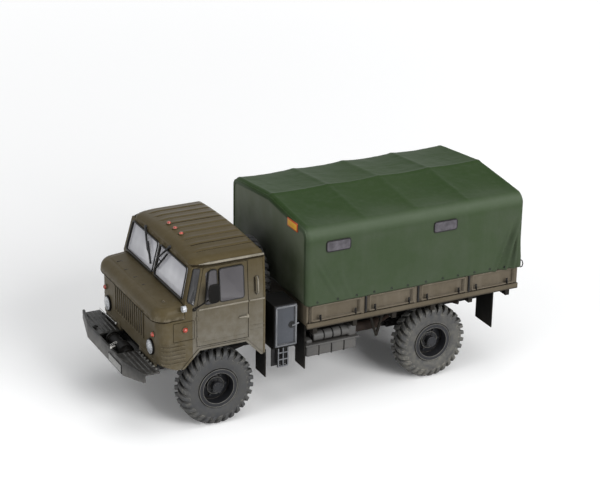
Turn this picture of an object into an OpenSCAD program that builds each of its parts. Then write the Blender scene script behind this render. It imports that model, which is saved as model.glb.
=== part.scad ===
// 1:35 display model of a forward-control four-wheel-drive military cargo truck.
// +X points forward, +Y to the truck's left and +Z up. The origin lies on the ground,
// under the middle of the overall box. All sizes are the model's own millimetres.

/* [Overall] */
// Front axle to the front face of the bumper
front_overhang = 34.4; // [33.5:0.1:37]
// Front axle to rear axle
wheelbase = 94.3; // [93:0.1:98]
// Rear axle to the back of the canvas
rear_overhang = 37.3; // [36:0.1:41]
// Distance between the middles of the front tyres
front_track = 51.4; // [50.8:0.1:53]
// Distance between the middles of the rear tyres
rear_track = 50; // [49:0.1:52]

/* [Wheels] */
// Radius of a tyre to the tips of its lugs
tyre_r = 15.2; // [14.8:0.1:15.5]
// Width of a tyre
tyre_w = 9.1; // [8.6:0.1:9.4]
// Height of a tread lug
lug_h = 1.1; // [0.6:0.05:1.3]
// Lugs on each half of the tread
lug_count = 18; // [14:1:22]
// Radius of the rim under the tyre
rim_r = 7.1; // [6.8:0.05:7.5]
// Radius of the stub axle
stub_r = 1.3; // [1.1:0.05:1.5]
// Wheel studs on each disc
stud_count = 6; // [5:1:8]

/* [Chassis] */
// Width over the two frame rails
frame_w = 23.6; // [22.8:0.1:24]
// Top of the frame above the ground
frame_top_z = 27; // [26.5:0.1:27.8]
// Height of a frame rail
rail_h = 5.2; // [4.8:0.1:5.5]
// Width of a rail's flange
rail_flange = 2.2; // [1.8:0.1:2.4]
// Thickness of the rail section
rail_t = 0.7; // [0.5:0.05:0.9]
// Radius of an axle tube
axle_r = 1.5; // [1.3:0.05:1.7]
// Radius of a differential housing
diff_r = 4.2; // [3.8:0.1:4.3]
// Distance from the tyre's middle in to the kingpin
kingpin_offset = 6; // [5.8:0.1:6.2]
// Length of a steering arm
steer_arm_l = 6.8; // [6.6:0.1:7.2]

/* [Cab] */
// Front axle to the back of the cab
cab_back_behind = 19.4; // [19:0.1:20]
// Length of the cab
cab_l = 44.7; // [44.2:0.1:45.5]
// Width of the cab
cab_w = 60.4; // [59.6:0.1:61]
// Thickness of the cab's walls and doors
cab_wall = 1; // [0.8:0.05:1.2]
// Lowest edge of the cab's sides
skirt_z = 26.4; // [26:0.1:27]
// Top of the wheel arch
arch_top_z = 32.9; // [32.4:0.1:33.2]
// Top of the cab's floor
cab_floor_z = 34.2; // [34:0.1:34.6]
// Front edge of the lid, as a share of the height from cab floor to roof
lid_seam_share = 0.357; // [0.34:0.001:0.375]
// Bottom of the windscreen, as a share of the same height
screen_low_share = 0.526; // [0.51:0.001:0.54]
// Joint between roof and cab walls, as a share of the same height
roof_seam_share = 0.909; // [0.9:0.001:0.92]
// Top of the roof at the middle
roof_top_z = 69.2; // [68.8:0.1:70]

/* [Cargo bed] */
// Length of the bed
bed_l = 95; // [94:0.1:96]
// Width over the bed's side rails
bed_w = 66.2; // [65.6:0.1:66.8]
// Height of the sills between frame and cross bearers
sill_h = 4; // [3.6:0.1:4.4]
// Height of the cross bearers
bearer_h = 2.9; // [2.6:0.1:3.2]
// Height of the bed's side rails
bed_rail_h = 2.2; // [2:0.1:2.4]
// Height of the boards above the side rails
board_h = 11; // [10:0.1:12]
// Thickness of a board
board_t = 1; // [0.8:0.05:1.2]

/* [Canvas] */
// Thickness of the canvas
canvas_t = 0.8; // [0.6:0.05:0.9]
// Overlap of the canvas on the boards
canvas_lap = 3.4; // [3:0.1:4]
// Height of the canvas from its hem to the eaves
canvas_side_h = 30.6; // [29:0.1:32]
// Rise of the ridge above the eaves
canvas_rise = 3.6; // [2.8:0.1:4]
// Sag of the canvas between two bows
canvas_sag = 0.7; // [0.4:0.05:0.9]
// Bays between bows
bay_count = 4; // [3:1:5]

/* [Hidden] */

$fn = 48;
olive = [0.36, 0.33, 0.25];
bed_olive = [0.38, 0.34, 0.27];
canvas_green = [0.22, 0.3, 0.17];
chassis_black = [0.12, 0.12, 0.12];
rubber_grey = [0.25, 0.25, 0.24];
rim_grey = [0.2, 0.2, 0.22];
box_grey = [0.4, 0.41, 0.43];
clear = [0.8, 0.85, 0.88, 0.4];
lamp_red = [0.8, 0.25, 0.12];
silver = [0.8, 0.8, 0.8];
seat_brown = [0.3, 0.22, 0.16];

// How far a cut runs past the face it opens, and the gaps between pieces
overrun = 1;
run_gap = 0.04;
seat_gap = 0.1;
door_gap = 0.15;

// Places along the length
plate_t = 0.3;
overall_l = front_overhang + wheelbase + rear_overhang;
bumper_x = overall_l / 2;
tail_x = -overall_l / 2;
bumper_face_x = bumper_x - plate_t;
front_axle_x = bumper_x - front_overhang;
rear_axle_x = front_axle_x - wheelbase;
cab_back_x = front_axle_x - cab_back_behind;
cab_front_x = cab_back_x + cab_l;
bed_back_x = tail_x + canvas_t + seat_gap;
bed_front_x = bed_back_x + bed_l;

// Heights and half widths
axle_z = tyre_r;
frame_bottom_z = frame_top_z - rail_h;
rail_y = frame_w / 2;
rail_inner_y = rail_y - rail_flange;
rail_mid_y = rail_y - rail_flange / 2;
bearer_z = frame_top_z + sill_h;
bed_rail_z = bearer_z + bearer_h;
bed_rail_top_z = bed_rail_z + bed_rail_h;
board_top_z = bed_rail_top_z + board_h;
bed_floor_t = 1.1;
bed_under_z = bed_rail_top_z - bed_floor_t;
canvas_low_z = board_top_z - canvas_lap;
eave_z = canvas_low_z + canvas_side_h;
ridge_z = eave_z + canvas_rise;
kingpin_y = front_track / 2 - kingpin_offset;
cab_y = cab_w / 2;

// Places in the cab, as shares of its nose ahead of the front axle, of its height above the floor
// and of its half width, so that they follow the cab's own sizes
mid_share = 0.5;
function nose_x(share) = front_axle_x + share * (cab_front_x - front_axle_x);
function cab_z(share) = cab_floor_z + share * (roof_top_z - cab_floor_z);
function cab_side_y(share) = share * cab_y;

// Outline helpers
function unit(v) = v / norm(v);

// A polygon whose convex corners are rounded by true arcs, one radius for each corner
module rounded_polygon(points, radii) {
    n = len(points);
    before = [for (i = [0 : n - 1]) unit(points[(i + n - 1) % n] - points[i])];
    after = [for (i = [0 : n - 1]) unit(points[(i + 1) % n] - points[i])];
    half = [for (i = [0 : n - 1]) acos(before[i] * after[i]) / 2];
    cut = [for (i = [0 : n - 1]) radii[i] / tan(half[i])];
    polygon([for (i = [0 : n - 1]) each radii[i] > 0
        ? [points[i] + before[i] * cut[i], points[i] + after[i] * cut[i]] : [points[i]]]);
    intersection() {
        polygon(points);
        for (i = [0 : n - 1])
            if (radii[i] > 0)
                translate(points[i] + unit(before[i] + after[i]) * radii[i] / sin(half[i]))
                    circle(radii[i]);
    }
}

// A rectangle with its corners rounded by true arcs
module rounded_rect(low, high, r)
    rounded_polygon([low, [high.x, low.y], high, [low.x, high.y]], [r, r, r, r]);

// Extrudes an x-z outline across the width, centred on the middle plane
module across(width)
    translate([0, width / 2, 0]) rotate([90, 0, 0]) linear_extrude(width) children();

// Extrudes an x-z outline from y_low to y_high
module between_y(y_low, y_high)
    translate([0, y_high, 0]) rotate([90, 0, 0]) linear_extrude(y_high - y_low) children();

// Extrudes a y-z outline from x_low to x_high
module along(x_low, x_high)
    translate([x_low, 0, 0]) rotate([90, 0, 90]) linear_extrude(x_high - x_low) children();

module block(low, high)
    translate(low) cube(high - low);

module both_sides() {
    children();
    mirror([0, 1, 0]) children();
}

// A round bar from one point to another
module bar(from, to, r) {
    d = to - from;
    translate(from) rotate([0, acos(d.z / norm(d)), atan2(d.y, d.x)]) cylinder(h = norm(d), r = r);
}

// A cylinder along the width, from y_low to y_high
module pin_y(at, y_low, y_high, r)
    translate([at.x, y_low, at.z]) rotate([-90, 0, 0]) cylinder(h = y_high - y_low, r = r);

// A cylinder along the length, from x_low to x_high
module pin_x(at, x_low, x_high, r)
    translate([x_low, at.y, at.z]) rotate([0, 90, 0]) cylinder(h = x_high - x_low, r = r);

// Chassis frame: two channel rails opening inwards, with cross members between their webs
bumper_t = 0.9;
frame_front_x = bumper_face_x - bumper_t;
frame_back_inset = 4.4;
frame_back_x = bed_back_x + frame_back_inset;
cross_w = 2.4;
cross_drop = 0.9;
cross_behind = [-20, 50, 84];

module frame_rail()
    difference() {
        block([frame_back_x, rail_inner_y, frame_bottom_z], [frame_front_x, rail_y, frame_top_z]);
        block([frame_back_x - overrun, rail_inner_y - overrun, frame_bottom_z + rail_t],
            [frame_front_x + overrun, rail_y - rail_t, frame_top_z - rail_t]);
    }

module chassis_frame() color(chassis_black) {
    both_sides() frame_rail();
    for (x = concat([frame_back_x + rail_t], [for (b = cross_behind) front_axle_x - b]))
        translate([x, 0, 0])
            block([0, -rail_y + rail_t / 2, frame_bottom_z + cross_drop],
                [cross_w, rail_y - rail_t / 2, frame_top_z - cross_drop]);
    hitch();
}

// Towing eye at the middle of the rear cross member
hitch_r = 1.5;
hitch_bore_r = 0.8;
hitch_reach = 2.4;
hitch_t = 1;
hitch_z = (frame_bottom_z + frame_top_z) / 2;
module hitch()
    translate([0, 0, hitch_z - hitch_t / 2]) linear_extrude(hitch_t) difference() {
        union() {
            translate([frame_back_x - hitch_reach, 0]) circle(hitch_r);
            translate([frame_back_x - hitch_reach, -hitch_r]) square([hitch_reach + cross_w / 2,
                2 * hitch_r]);
        }
        translate([frame_back_x - hitch_reach, 0]) circle(hitch_bore_r);
    }

// Front bumper: a bowed face with a tread deck on each side of the winch
bumper_w = 63.6;
bumper_drop = 4.4;
bumper_low_z = frame_top_z - bumper_drop;
bumper_lip = 0.9;
bumper_bow = 3;
bumper_flat_share = 0.58;
bumper_end_rise = 2.4;
deck_t = 0.6;
deck_back_ahead = 24;
deck_rib = 0.25;
deck_rib_count = 4;
deck_rib_shares = [0.25, 0.75];
bumper_y = bumper_w / 2;
bumper_flat_y = bumper_y * bumper_flat_share;
deck_back_x = front_axle_x + deck_back_ahead;
function bumper_outline(inset) = [
    [deck_back_x - overrun, -bumper_y + inset], [bumper_face_x - bumper_bow - inset, -bumper_y + inset],
    [bumper_face_x - inset, -bumper_flat_y], [bumper_face_x - inset, bumper_flat_y],
    [bumper_face_x - bumper_bow - inset, bumper_y - inset], [deck_back_x - overrun, bumper_y - inset]];

module front_bumper() color(chassis_black) {
    difference() {
        translate([0, 0, bumper_low_z])
            linear_extrude(frame_top_z + deck_t + bumper_lip - bumper_low_z)
                difference() {
                    polygon(bumper_outline(0));
                    polygon(bumper_outline(bumper_t));
                    translate([deck_back_x - 2 * overrun, -bumper_w])
                        square([bumper_face_x - bumper_bow - bumper_t - deck_back_x + 2 * overrun,
                            2 * bumper_w]);
                }
        both_sides() along(0, overall_l)
            polygon([[bumper_flat_y, bumper_low_z - overrun], [bumper_flat_y, bumper_low_z],
                [bumper_y + overrun, bumper_low_z + bumper_end_rise],
                    [bumper_y + overrun, bumper_low_z - overrun]]);
    }
    both_sides() deck();
}

module deck() {
    translate([0, 0, frame_top_z]) linear_extrude(deck_t)
        intersection() {
            polygon(bumper_outline(bumper_t));
            translate([deck_back_x, rail_inner_y]) square([overall_l, bumper_y]);
        }
    rib_pitch = (bumper_face_x - bumper_bow - deck_back_x) / deck_rib_count;
    for (i = [0 : deck_rib_count - 1])
        block([deck_back_x + (i + deck_rib_shares[0]) * rib_pitch, rail_inner_y + bumper_t,
            frame_top_z + deck_t],
            [deck_back_x + (i + deck_rib_shares[1]) * rib_pitch, bumper_y - 2 * bumper_t,
                frame_top_z + deck_t + deck_rib]);
}

// Tow hooks on the deck edge and the winch lever
hook_r = 1.1;
hook_bar_r = 0.4;
hook_y = [-14.9, 5];
hook_back = 1.15;
lever_from = [24.8, -26, 28.4];
lever_to = [24.8, -12.8, 29.2];
lever_r = 0.25;
knob_r = 0.6;
module tow_hooks() color(chassis_black) {
    hook_z = frame_top_z + deck_t + deck_rib + hook_bar_r;
    for (y = hook_y) {
        translate([bumper_face_x - bumper_t - hook_back, y, hook_z]) difference() {
            rotate_extrude() translate([hook_r - hook_bar_r, 0]) circle(hook_bar_r);
            translate([-hook_r - overrun, 0, -overrun]) cube([hook_r + overrun, hook_r + overrun,
                2 * overrun]);
        }
        block([bumper_face_x - bumper_t - hook_back + hook_r - hook_bar_r, y - hook_bar_r,
            hook_z - hook_bar_r],
            [bumper_face_x - bumper_t, y + hook_bar_r, hook_z + hook_bar_r]);
    }
    shift = [front_axle_x, 0, 0];
    bar(shift + lever_from, shift + lever_to, lever_r);
    translate(shift + lever_to) sphere(r = knob_r);
    bar(shift + lever_from, [shift.x + lever_from.x, lever_from.y, frame_top_z + deck_t + deck_rib],
        lever_r);
}

// Winch between the rails behind the bumper: drum, end plates, gear housing and base
winch_ahead = 28;
winch_drum_r = 2.1;
winch_rope_r = 2.6;
winch_end_r = 3.3;
winch_end_t = 0.8;
winch_drum_y = [-6.6, 3.4];
winch_gear_w = 3.6;
winch_lift = 3.4;
winch_z = frame_bottom_z + rail_t + winch_lift;
winch_x = front_axle_x + winch_ahead;
winch_base_l = 5;
winch_motor_r = 2.3;
module winch() color(chassis_black) {
    at = [winch_x, 0, winch_z];
    pin_y(at, winch_drum_y[0], winch_drum_y[1], winch_drum_r);
    pin_y(at, winch_drum_y[0] + winch_end_t, winch_drum_y[1] - winch_end_t, winch_rope_r);
    for (y = [winch_drum_y[0], winch_drum_y[1] - winch_end_t])
        pin_y(at, y, y + winch_end_t, winch_end_r);
    pin_y(at, winch_drum_y[1], winch_drum_y[1] + winch_gear_w, winch_end_r);
    pin_y(at, winch_drum_y[1] + winch_gear_w, rail_inner_y - seat_gap, winch_motor_r);
    block([winch_x - winch_base_l / 2, -rail_inner_y, frame_bottom_z],
        [winch_x + winch_base_l / 2, rail_inner_y, frame_bottom_z + rail_t]);
    for (y = [winch_drum_y[0], winch_drum_y[1] + winch_gear_w - winch_end_t])
        block([winch_x - winch_drum_r, y, frame_bottom_z], [winch_x + winch_drum_r, y + winch_end_t,
            winch_z]);
}

// Axles: a tube, the differential housing with its cover, and a pad under each spring
diff_y = 4.6;
diff_w = 5.2;
diff_nose_l = 5.4;
diff_nose_r = 1.9;
pad_h = 2.1;
pad_l = 4.2;
pad_w = 2.4;
spring_seat_z = axle_z + pad_h;
ball_r = 2.6;
kingpin_r = 0.6;
kingpin_h = 3.5;
module axle_housing(x, tube_y, nose_sign) {
    at = [x, 0, axle_z];
    pin_y(at, -tube_y, tube_y, axle_r);
    translate([x, diff_y, axle_z]) sphere(r = diff_r);
    pin_y(at, diff_y - diff_w, diff_y + diff_w, diff_r - axle_r);
    nose = nose_sign * (diff_r + diff_nose_l - diff_nose_r);
    pin_x([x, diff_y, axle_z], min(x, x + nose), max(x, x + nose), diff_nose_r);
    both_sides()
        block([x - pad_l / 2, rail_mid_y - pad_w / 2, axle_z], [x + pad_l / 2, rail_mid_y + pad_w / 2,
            spring_seat_z]);
}

module front_axle() color(chassis_black) {
    axle_housing(front_axle_x, kingpin_y, -1);
    both_sides() translate([front_axle_x, kingpin_y, axle_z]) {
        sphere(r = ball_r);
        translate([0, 0, -kingpin_h]) cylinder(h = 2 * kingpin_h, r = kingpin_r);
    }
}

hub_in = 1.2;
hub_bore_out = 2.6;
rear_stub_y = rear_track / 2 + hub_bore_out;
rear_drum_r = 4.4;
rear_drum_w = 3;
rear_drum_y = rear_track / 2 - hub_in - seat_gap;
module rear_axle() color(chassis_black) {
    axle_housing(rear_axle_x, rear_drum_y, 1);
    both_sides() {
        pin_y([rear_axle_x, 0, axle_z], rear_drum_y - rear_drum_w, rear_drum_y, rear_drum_r);
        pin_y([rear_axle_x, 0, axle_z], rear_drum_y, rear_stub_y, stub_r);
    }
}

// Steering knuckle: a cup around the axle's ball, with the stub axle, flange and steering arm
cup_gap = 0.15;
cup_t = 0.75;
cup_r = ball_r + cup_gap + cup_t;
cup_cut = 0.7;
flange_r = 3.6;
flange_t = 0.9;
flange_in = 0.4;
flange_y = cup_r - flange_in;
arm_t = 0.9;
arm_w = 1.6;
arm_in = 0.5;
arm_z = cup_r - arm_in;
arm_pin_r = 0.5;
arm_pin_l = 1.7;
front_stub_y = kingpin_offset + hub_bore_out;
module knuckle() translate([front_axle_x, kingpin_y, axle_z])
    difference() {
        union() {
            intersection() {
                sphere(r = cup_r);
                block([-cup_r, -cup_cut, -cup_r], [cup_r, cup_r, cup_r]);
            }
            pin_y([0, 0, 0], flange_y, flange_y + flange_t, flange_r);
            pin_y([0, 0, 0], flange_y, front_stub_y, stub_r);
            block([-steer_arm_l, -arm_w / 2, -arm_z - arm_t], [0, arm_w / 2, -arm_z]);
            translate([-steer_arm_l, 0, -arm_z - arm_t]) cylinder(h = arm_t, r = arm_w / 2);
            translate([0, 0, -arm_z - arm_t]) cylinder(h = arm_t, r = arm_w);
            translate([-steer_arm_l, 0, -arm_z - arm_t - arm_pin_l]) cylinder(h = arm_pin_l, r = arm_pin_r);
        }
        sphere(r = ball_r + cup_gap);
        translate([0, 0, -kingpin_h - overrun])
            cylinder(h = 2 * kingpin_h + 2 * overrun, r = kingpin_r + run_gap);
    }
module knuckle_left() color(chassis_black) knuckle();
module knuckle_right() color(chassis_black) mirror([0, 1, 0]) knuckle();

// Tie rod between the two steering arms
tie_r = 0.6;
tie_eye_r = 1.1;
tie_eye_t = 1.2;
tie_x = front_axle_x - steer_arm_l;
tie_z = axle_z - arm_z - arm_t - seat_gap - tie_eye_t / 2;
module tie_rod() color(chassis_black)
    difference() {
        union() {
            pin_y([tie_x, 0, tie_z], -kingpin_y, kingpin_y, tie_r);
            both_sides() translate([tie_x, kingpin_y, tie_z - tie_eye_t / 2]) cylinder(h = tie_eye_t,
                r = tie_eye_r);
        }
        both_sides() translate([tie_x, kingpin_y, tie_z - tie_eye_t])
            cylinder(h = 2 * tie_eye_t, r = arm_pin_r + run_gap);
    }

// Leaf springs: curved leaves that shorten towards the axle, with a hanger at each eye
leaf_t = 0.5;
leaf_w = 1.9;
leaf_count = 4;
leaf_half_l = 14.5;
leaf_rise = 1.1;
leaf_step_share = 0.2;
hanger_l = 1.8;
leaf_r = (leaf_half_l * leaf_half_l + leaf_rise * leaf_rise) / (2 * leaf_rise);
module leaf_pack() {
    centre_z = spring_seat_z + leaf_count * leaf_t + leaf_r;
    for (i = [0 : leaf_count - 1]) {
        half_l = leaf_half_l * (1 - i * leaf_step_share);
        intersection() {
            translate([0, centre_z]) difference() {
                circle(leaf_r + (i + 1) * leaf_t, $fn = 200);
                circle(leaf_r + i * leaf_t, $fn = 200);
            }
            translate([-half_l, 0]) square([2 * half_l, frame_bottom_z]);
        }
    }
    for (s = [-1, 1])
        translate([s * (leaf_half_l - hanger_l / 2) - hanger_l / 2,
            spring_seat_z + (leaf_count - 1) * leaf_t])
            square([hanger_l, frame_bottom_z - spring_seat_z - (leaf_count - 1) * leaf_t]);
}
module leaf_springs() color(chassis_black)
    both_sides() for (x = [front_axle_x, rear_axle_x])
        translate([x, 0, 0]) between_y(rail_mid_y - leaf_w / 2, rail_mid_y + leaf_w / 2) leaf_pack();

// Engine and gearbox as plain masses, hung on the frame by their mounting ears
engine_behind = 8;
engine_front_share = 0.593;
engine_top_share = 0.266;
engine_lift = 1.6;
engine_y = 6.2;
engine_x = [front_axle_x - engine_behind, nose_x(engine_front_share)];
engine_z = [frame_bottom_z + engine_lift, cab_z(engine_top_share)];
gearbox_l = 14;
gearbox_y = 4;
gearbox_lift = 0.4;
gearbox_rise = 3.4;
gearbox_z = [frame_bottom_z + gearbox_lift, frame_top_z + gearbox_rise];
ear_l = 3;
module engine() color(chassis_black) {
    block([engine_x[0], -engine_y, engine_z[0]], [engine_x[1], engine_y, engine_z[1]]);
    block([engine_x[0] - gearbox_l, -gearbox_y, gearbox_z[0]], [engine_x[0], gearbox_y, gearbox_z[1]]);
    block([front_axle_x, -rail_inner_y, frame_top_z - rail_t], [front_axle_x + ear_l, rail_inner_y,
        frame_top_z]);
}

// Transfer case behind the gearbox
transfer_behind = 39;
transfer_l = 7;
transfer_y = [-5, 7.4];
transfer_z = [18.6, 26];
transfer_x = front_axle_x - transfer_behind;
transfer_r = 3;
module transfer_case() color(chassis_black) {
    between_y(transfer_y[0], transfer_y[1])
        rounded_rect([transfer_x - transfer_l / 2, transfer_z[0]],
            [transfer_x + transfer_l / 2, transfer_z[1]], transfer_r / 2);
    block([transfer_x - ear_l / 2, -rail_inner_y, frame_top_z - rail_t - rail_t],
        [transfer_x + ear_l / 2, rail_inner_y, frame_top_z - rail_t + rail_t]);
}

// Drive shafts with a yoke at each end
shaft_r = 0.8;
yoke_r = 1.3;
yoke_l = 1.6;
shaft_gap = 0.25;
front_nose_x = front_axle_x - diff_r - diff_nose_l + diff_nose_r;
rear_nose_x = rear_axle_x + diff_r + diff_nose_l - diff_nose_r;
shaft_out_z = transfer_z[0] + transfer_r;
module drive_shaft(from, to) {
    d = unit(to - from);
    bar(from + d * shaft_gap, to - d * shaft_gap, shaft_r);
    bar(from + d * shaft_gap, from + d * (shaft_gap + yoke_l), yoke_r);
    bar(to - d * (shaft_gap + yoke_l), to - d * shaft_gap, yoke_r);
}
module drive_shafts() color(chassis_black) {
    drive_shaft([transfer_x + transfer_l / 2 + shaft_gap, diff_y, shaft_out_z],
        [front_nose_x - shaft_gap, diff_y, axle_z]);
    drive_shaft([transfer_x - transfer_l / 2 - shaft_gap, diff_y, shaft_out_z],
        [rear_nose_x + shaft_gap, diff_y, axle_z]);
    drive_shaft([engine_x[0] - gearbox_l, 0, (gearbox_z[0] + frame_top_z) / 2],
        [transfer_x + transfer_l / 2, 0, transfer_z[1] - transfer_r / 2]);
}

// Exhaust: pipe from the engine, silencer beside the left rail and tail pipe behind the rear wheel
silencer_r = 2;
silencer_behind = [63, 77];
exhaust_r = 0.7;
silencer_y = rail_y + silencer_r + exhaust_r;
exhaust_low_z = 20.2;
silencer_z = 21.2;
exhaust_points = [ // behind the front axle, y, z
    [4, 7.2, 26], [4, 7.2, exhaust_low_z], [34, 8.6, exhaust_low_z], [56, 8.6, exhaust_low_z],
    [silencer_behind[0], silencer_y, silencer_z], [silencer_behind[1], silencer_y, silencer_z],
    [98, silencer_y, 29.9], [106, 28.3, 30]];
silencer_i = 4;
elbow_share = 1.12;
exhaust_hanger = 1.2;
module exhaust() color(chassis_black) {
    at = [for (q = exhaust_points) [front_axle_x - q[0], q[1], q[2]]];
    for (i = [1 : len(at) - 1]) {
        bar(at[i - 1], at[i], exhaust_r);
        if (i < len(at) - 1) translate(at[i]) sphere(r = exhaust_r * elbow_share);
    }
    pin_x(at[silencer_i], at[silencer_i + 1].x, at[silencer_i].x, silencer_r);
    for (i = [silencer_i, silencer_i + 1])
        block([at[i].x - exhaust_hanger / 2, rail_y, frame_bottom_z],
            [at[i].x + exhaust_hanger / 2, silencer_y, frame_bottom_z + exhaust_hanger]);
}

// Fuel tank on each side: two pressed halves joined at a flange, with ribs, filler neck and brackets
tank_front_behind = 37.6;
tank_l = 22;
tank_y = [16.4, 29.2];
tank_z = [19.8, 23.7, 29];
tank_flange = 0.7;
tank_flange_t = 0.5;
tank_r = 1;
tank_rib_count = 3;
tank_rib_w = 0.7;
tank_rib_d = 0.35;
tank_top_step = 2.4;
filler_r = 1.9;
filler_l = 1.6;
filler_cap_r = 1.5;
filler_cap_l = 0.6;
bracket_w = 1.6;
tank_bracket_shares = [0.2, 0.8];
tank_front_x = front_axle_x - tank_front_behind;
tank_top_r = 2.4;
module tank_half(z_low, z_high, y_out, top_r)
    difference() {
        along(tank_front_x - tank_l, tank_front_x)
            rounded_polygon([[tank_y[0], z_low], [y_out, z_low], [y_out, z_high], [tank_y[0], z_high]],
                [tank_r, tank_r, top_r, tank_r]);
        for (i = [1 : tank_rib_count])
            translate([tank_front_x - i * tank_l / (tank_rib_count + 1) - tank_rib_w / 2,
                y_out - tank_rib_d, z_low - overrun])
                cube([tank_rib_w, tank_rib_d + overrun, z_high - z_low + 2 * overrun]);
    }
module fuel_tank() {
    tank_half(tank_z[0], tank_z[1] + tank_r, tank_y[1], tank_r);
    tank_half(tank_z[1] - tank_r, tank_z[2], tank_y[1] - tank_top_step / 2, tank_top_r);
    block([tank_front_x - tank_l - tank_flange, tank_y[0] - tank_flange, tank_z[1] - tank_flange_t / 2],
        [tank_front_x + tank_flange, tank_y[1] + tank_flange, tank_z[1] + tank_flange_t / 2]);
    filler = [tank_front_x - filler_r - tank_rib_w, 0, tank_z[2] - filler_r / 2];
    pin_y(filler, tank_y[1] - tank_top_step, tank_y[1] + filler_l - tank_top_step, filler_r);
    pin_y(filler, tank_y[1] + filler_l - tank_top_step,
        tank_y[1] + filler_l + filler_cap_l - tank_top_step, filler_cap_r);
    for (share = tank_bracket_shares)
        block([tank_front_x - share * tank_l - bracket_w / 2, rail_y, tank_z[1]],
            [tank_front_x - share * tank_l + bracket_w / 2, tank_y[0] + tank_flange,
                tank_z[1] + bracket_w]);
}
module fuel_tanks() color(box_grey) both_sides() fuel_tank();

// Stowage box behind the cab on the left, with its framed door, latch, bracket and lattice step
box_behind = [23.4, 33];
box_y = [17, 29.3];
box_z = [27.1, 44.4];
box_frame = 0.9;
box_recess = 0.35;
latch_r = 1;
latch_l = 2.4;
latch_t = 0.5;
step_behind = [25.6, 30.4];
step_z = 17.8;
step_t = 0.8;
step_bar = 0.7;
step_y = 27.4;
box_arm_t = 1.2;
module stowage_box() color(chassis_black) {
    x_low = front_axle_x - box_behind[1];
    x_high = front_axle_x - box_behind[0];
    block([x_low, box_y[0], box_z[0]], [x_high, box_y[1], box_z[1]]);
    block([x_low, rail_y, frame_top_z - box_arm_t], [x_high, box_y[0] + overrun, frame_top_z]);
    block([x_low, box_y[0], frame_top_z - box_arm_t], [x_high, step_y + step_t, box_z[0]]);
    lattice_step();
}
box_door_t = 0.7;
box_door_inset = 0.3;
module box_door() color(box_grey) {
    low = [front_axle_x - box_behind[1] + box_door_inset, box_z[0] + box_door_inset];
    high = [front_axle_x - box_behind[0] - box_door_inset, box_z[1] - box_door_inset];
    latch = [low.x + box_frame + latch_r, (low.y + high.y) / 2];
    difference() {
        between_y(box_y[1], box_y[1] + box_door_t) translate(low) square(high - low);
        between_y(box_y[1] + box_door_t - box_recess, box_y[1] + 2 * box_door_t)
            translate(low + [box_frame, box_frame]) square(high - low - 2 * [box_frame, box_frame]);
        between_y(box_y[1], box_y[1] + 2 * box_door_t) translate(latch) circle(latch_r);
    }
    block([latch.x - latch_l / 2, box_y[1], latch.y - latch_t / 2],
        [latch.x, box_y[1] + box_door_t, latch.y + latch_t / 2]);
}
module lattice_step() {
    low = [front_axle_x - step_behind[1], step_z];
    high = [front_axle_x - step_behind[0], frame_top_z];
    between_y(step_y, step_y + step_t)
        difference() {
            translate(low) square(high - low);
            pane = [(high.x - low.x - 3 * step_bar) / 2, (high.y - low.y - 4 * step_bar) / 3];
            for (i = [0, 1], j = [0 : 2])
                translate(low + [step_bar + i * (pane.x + step_bar),
                    step_bar + j * (pane.y + step_bar)]) square(pane);
        }
}

// Spare wheel behind the cab, standing on a carrier across the frame
spare_gap = 8.3;
spare_x = cab_back_x - spare_gap;
spare_y = -6;
spare_lift = 0.4;
carrier_t = 1.2;
spare_z = frame_top_z + carrier_t + tyre_r + spare_lift;
carrier_l = 11;
carrier_post = 1.4;
carrier_plate_t = 0.8;
module spare_place()
    translate([spare_x, spare_y, spare_z]) rotate([0, 0, 90]) children();
module spare_carrier() color(chassis_black) {
    block([spare_x - carrier_l / 2, -rail_y, frame_top_z], [spare_x + carrier_l / 2, rail_y,
        frame_top_z + carrier_t]);
    plate_x = spare_x + tyre_w / 2 + seat_gap;
    block([plate_x, spare_y - carrier_post, frame_top_z], [plate_x + carrier_plate_t,
        spare_y + carrier_post, spare_z + stud_pcd / 2]);
    pin_x([0, spare_y, spare_z], spare_x - hub_bore_out, plate_x + carrier_plate_t, stub_r);
}

// Wheel: the axis lies along Y and the outer face looks along +Y
hub_r = 3.5;
hub_nose_r = 2.1;
hub_out = 3.6;
disc_t = 0.8;
disc_y = 0.4;
barrel_t = 0.8;
barrel_y = 3.7;
flange_h = 0.8;
rim_flange_t = 0.5;
stud_pcd = 8.6;
stud_r = 0.42;
stud_l = 0.6;
tyre_fit = 0.06;
module rim() difference() {
    union() {
        rotate([-90, 0, 0]) rotate_extrude($fn = 64) {
            translate([rim_r - barrel_t, -barrel_y]) square([barrel_t, 2 * barrel_y]);
            for (s = [-1, 1])
                translate([rim_r - barrel_t, s > 0 ? barrel_y : -barrel_y - rim_flange_t])
                    square([barrel_t + flange_h, rim_flange_t]);
            polygon([[0, disc_y], [hub_r, disc_y], [rim_r - barrel_t, disc_y - disc_t],
                [rim_r, disc_y - disc_t], [rim_r, disc_y - 2 * disc_t], [hub_r, disc_y - disc_t],
                    [0, disc_y - disc_t]]);
            translate([0, -hub_in]) square([hub_r, hub_in + disc_y + disc_t]);
            translate([0, 0]) square([hub_nose_r, hub_out]);
        }
        for (i = [0 : stud_count - 1])
            rotate([0, i * 360 / stud_count, 0]) translate([stud_pcd / 2, disc_y - disc_t, 0])
                rotate([-90, 0, 0]) cylinder(h = disc_t + stud_l, r = stud_r, $fn = 6);
    }
    pin_y([0, 0, 0], -hub_in - overrun, hub_bore_out + run_gap, stub_r + run_gap);
}

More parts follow.
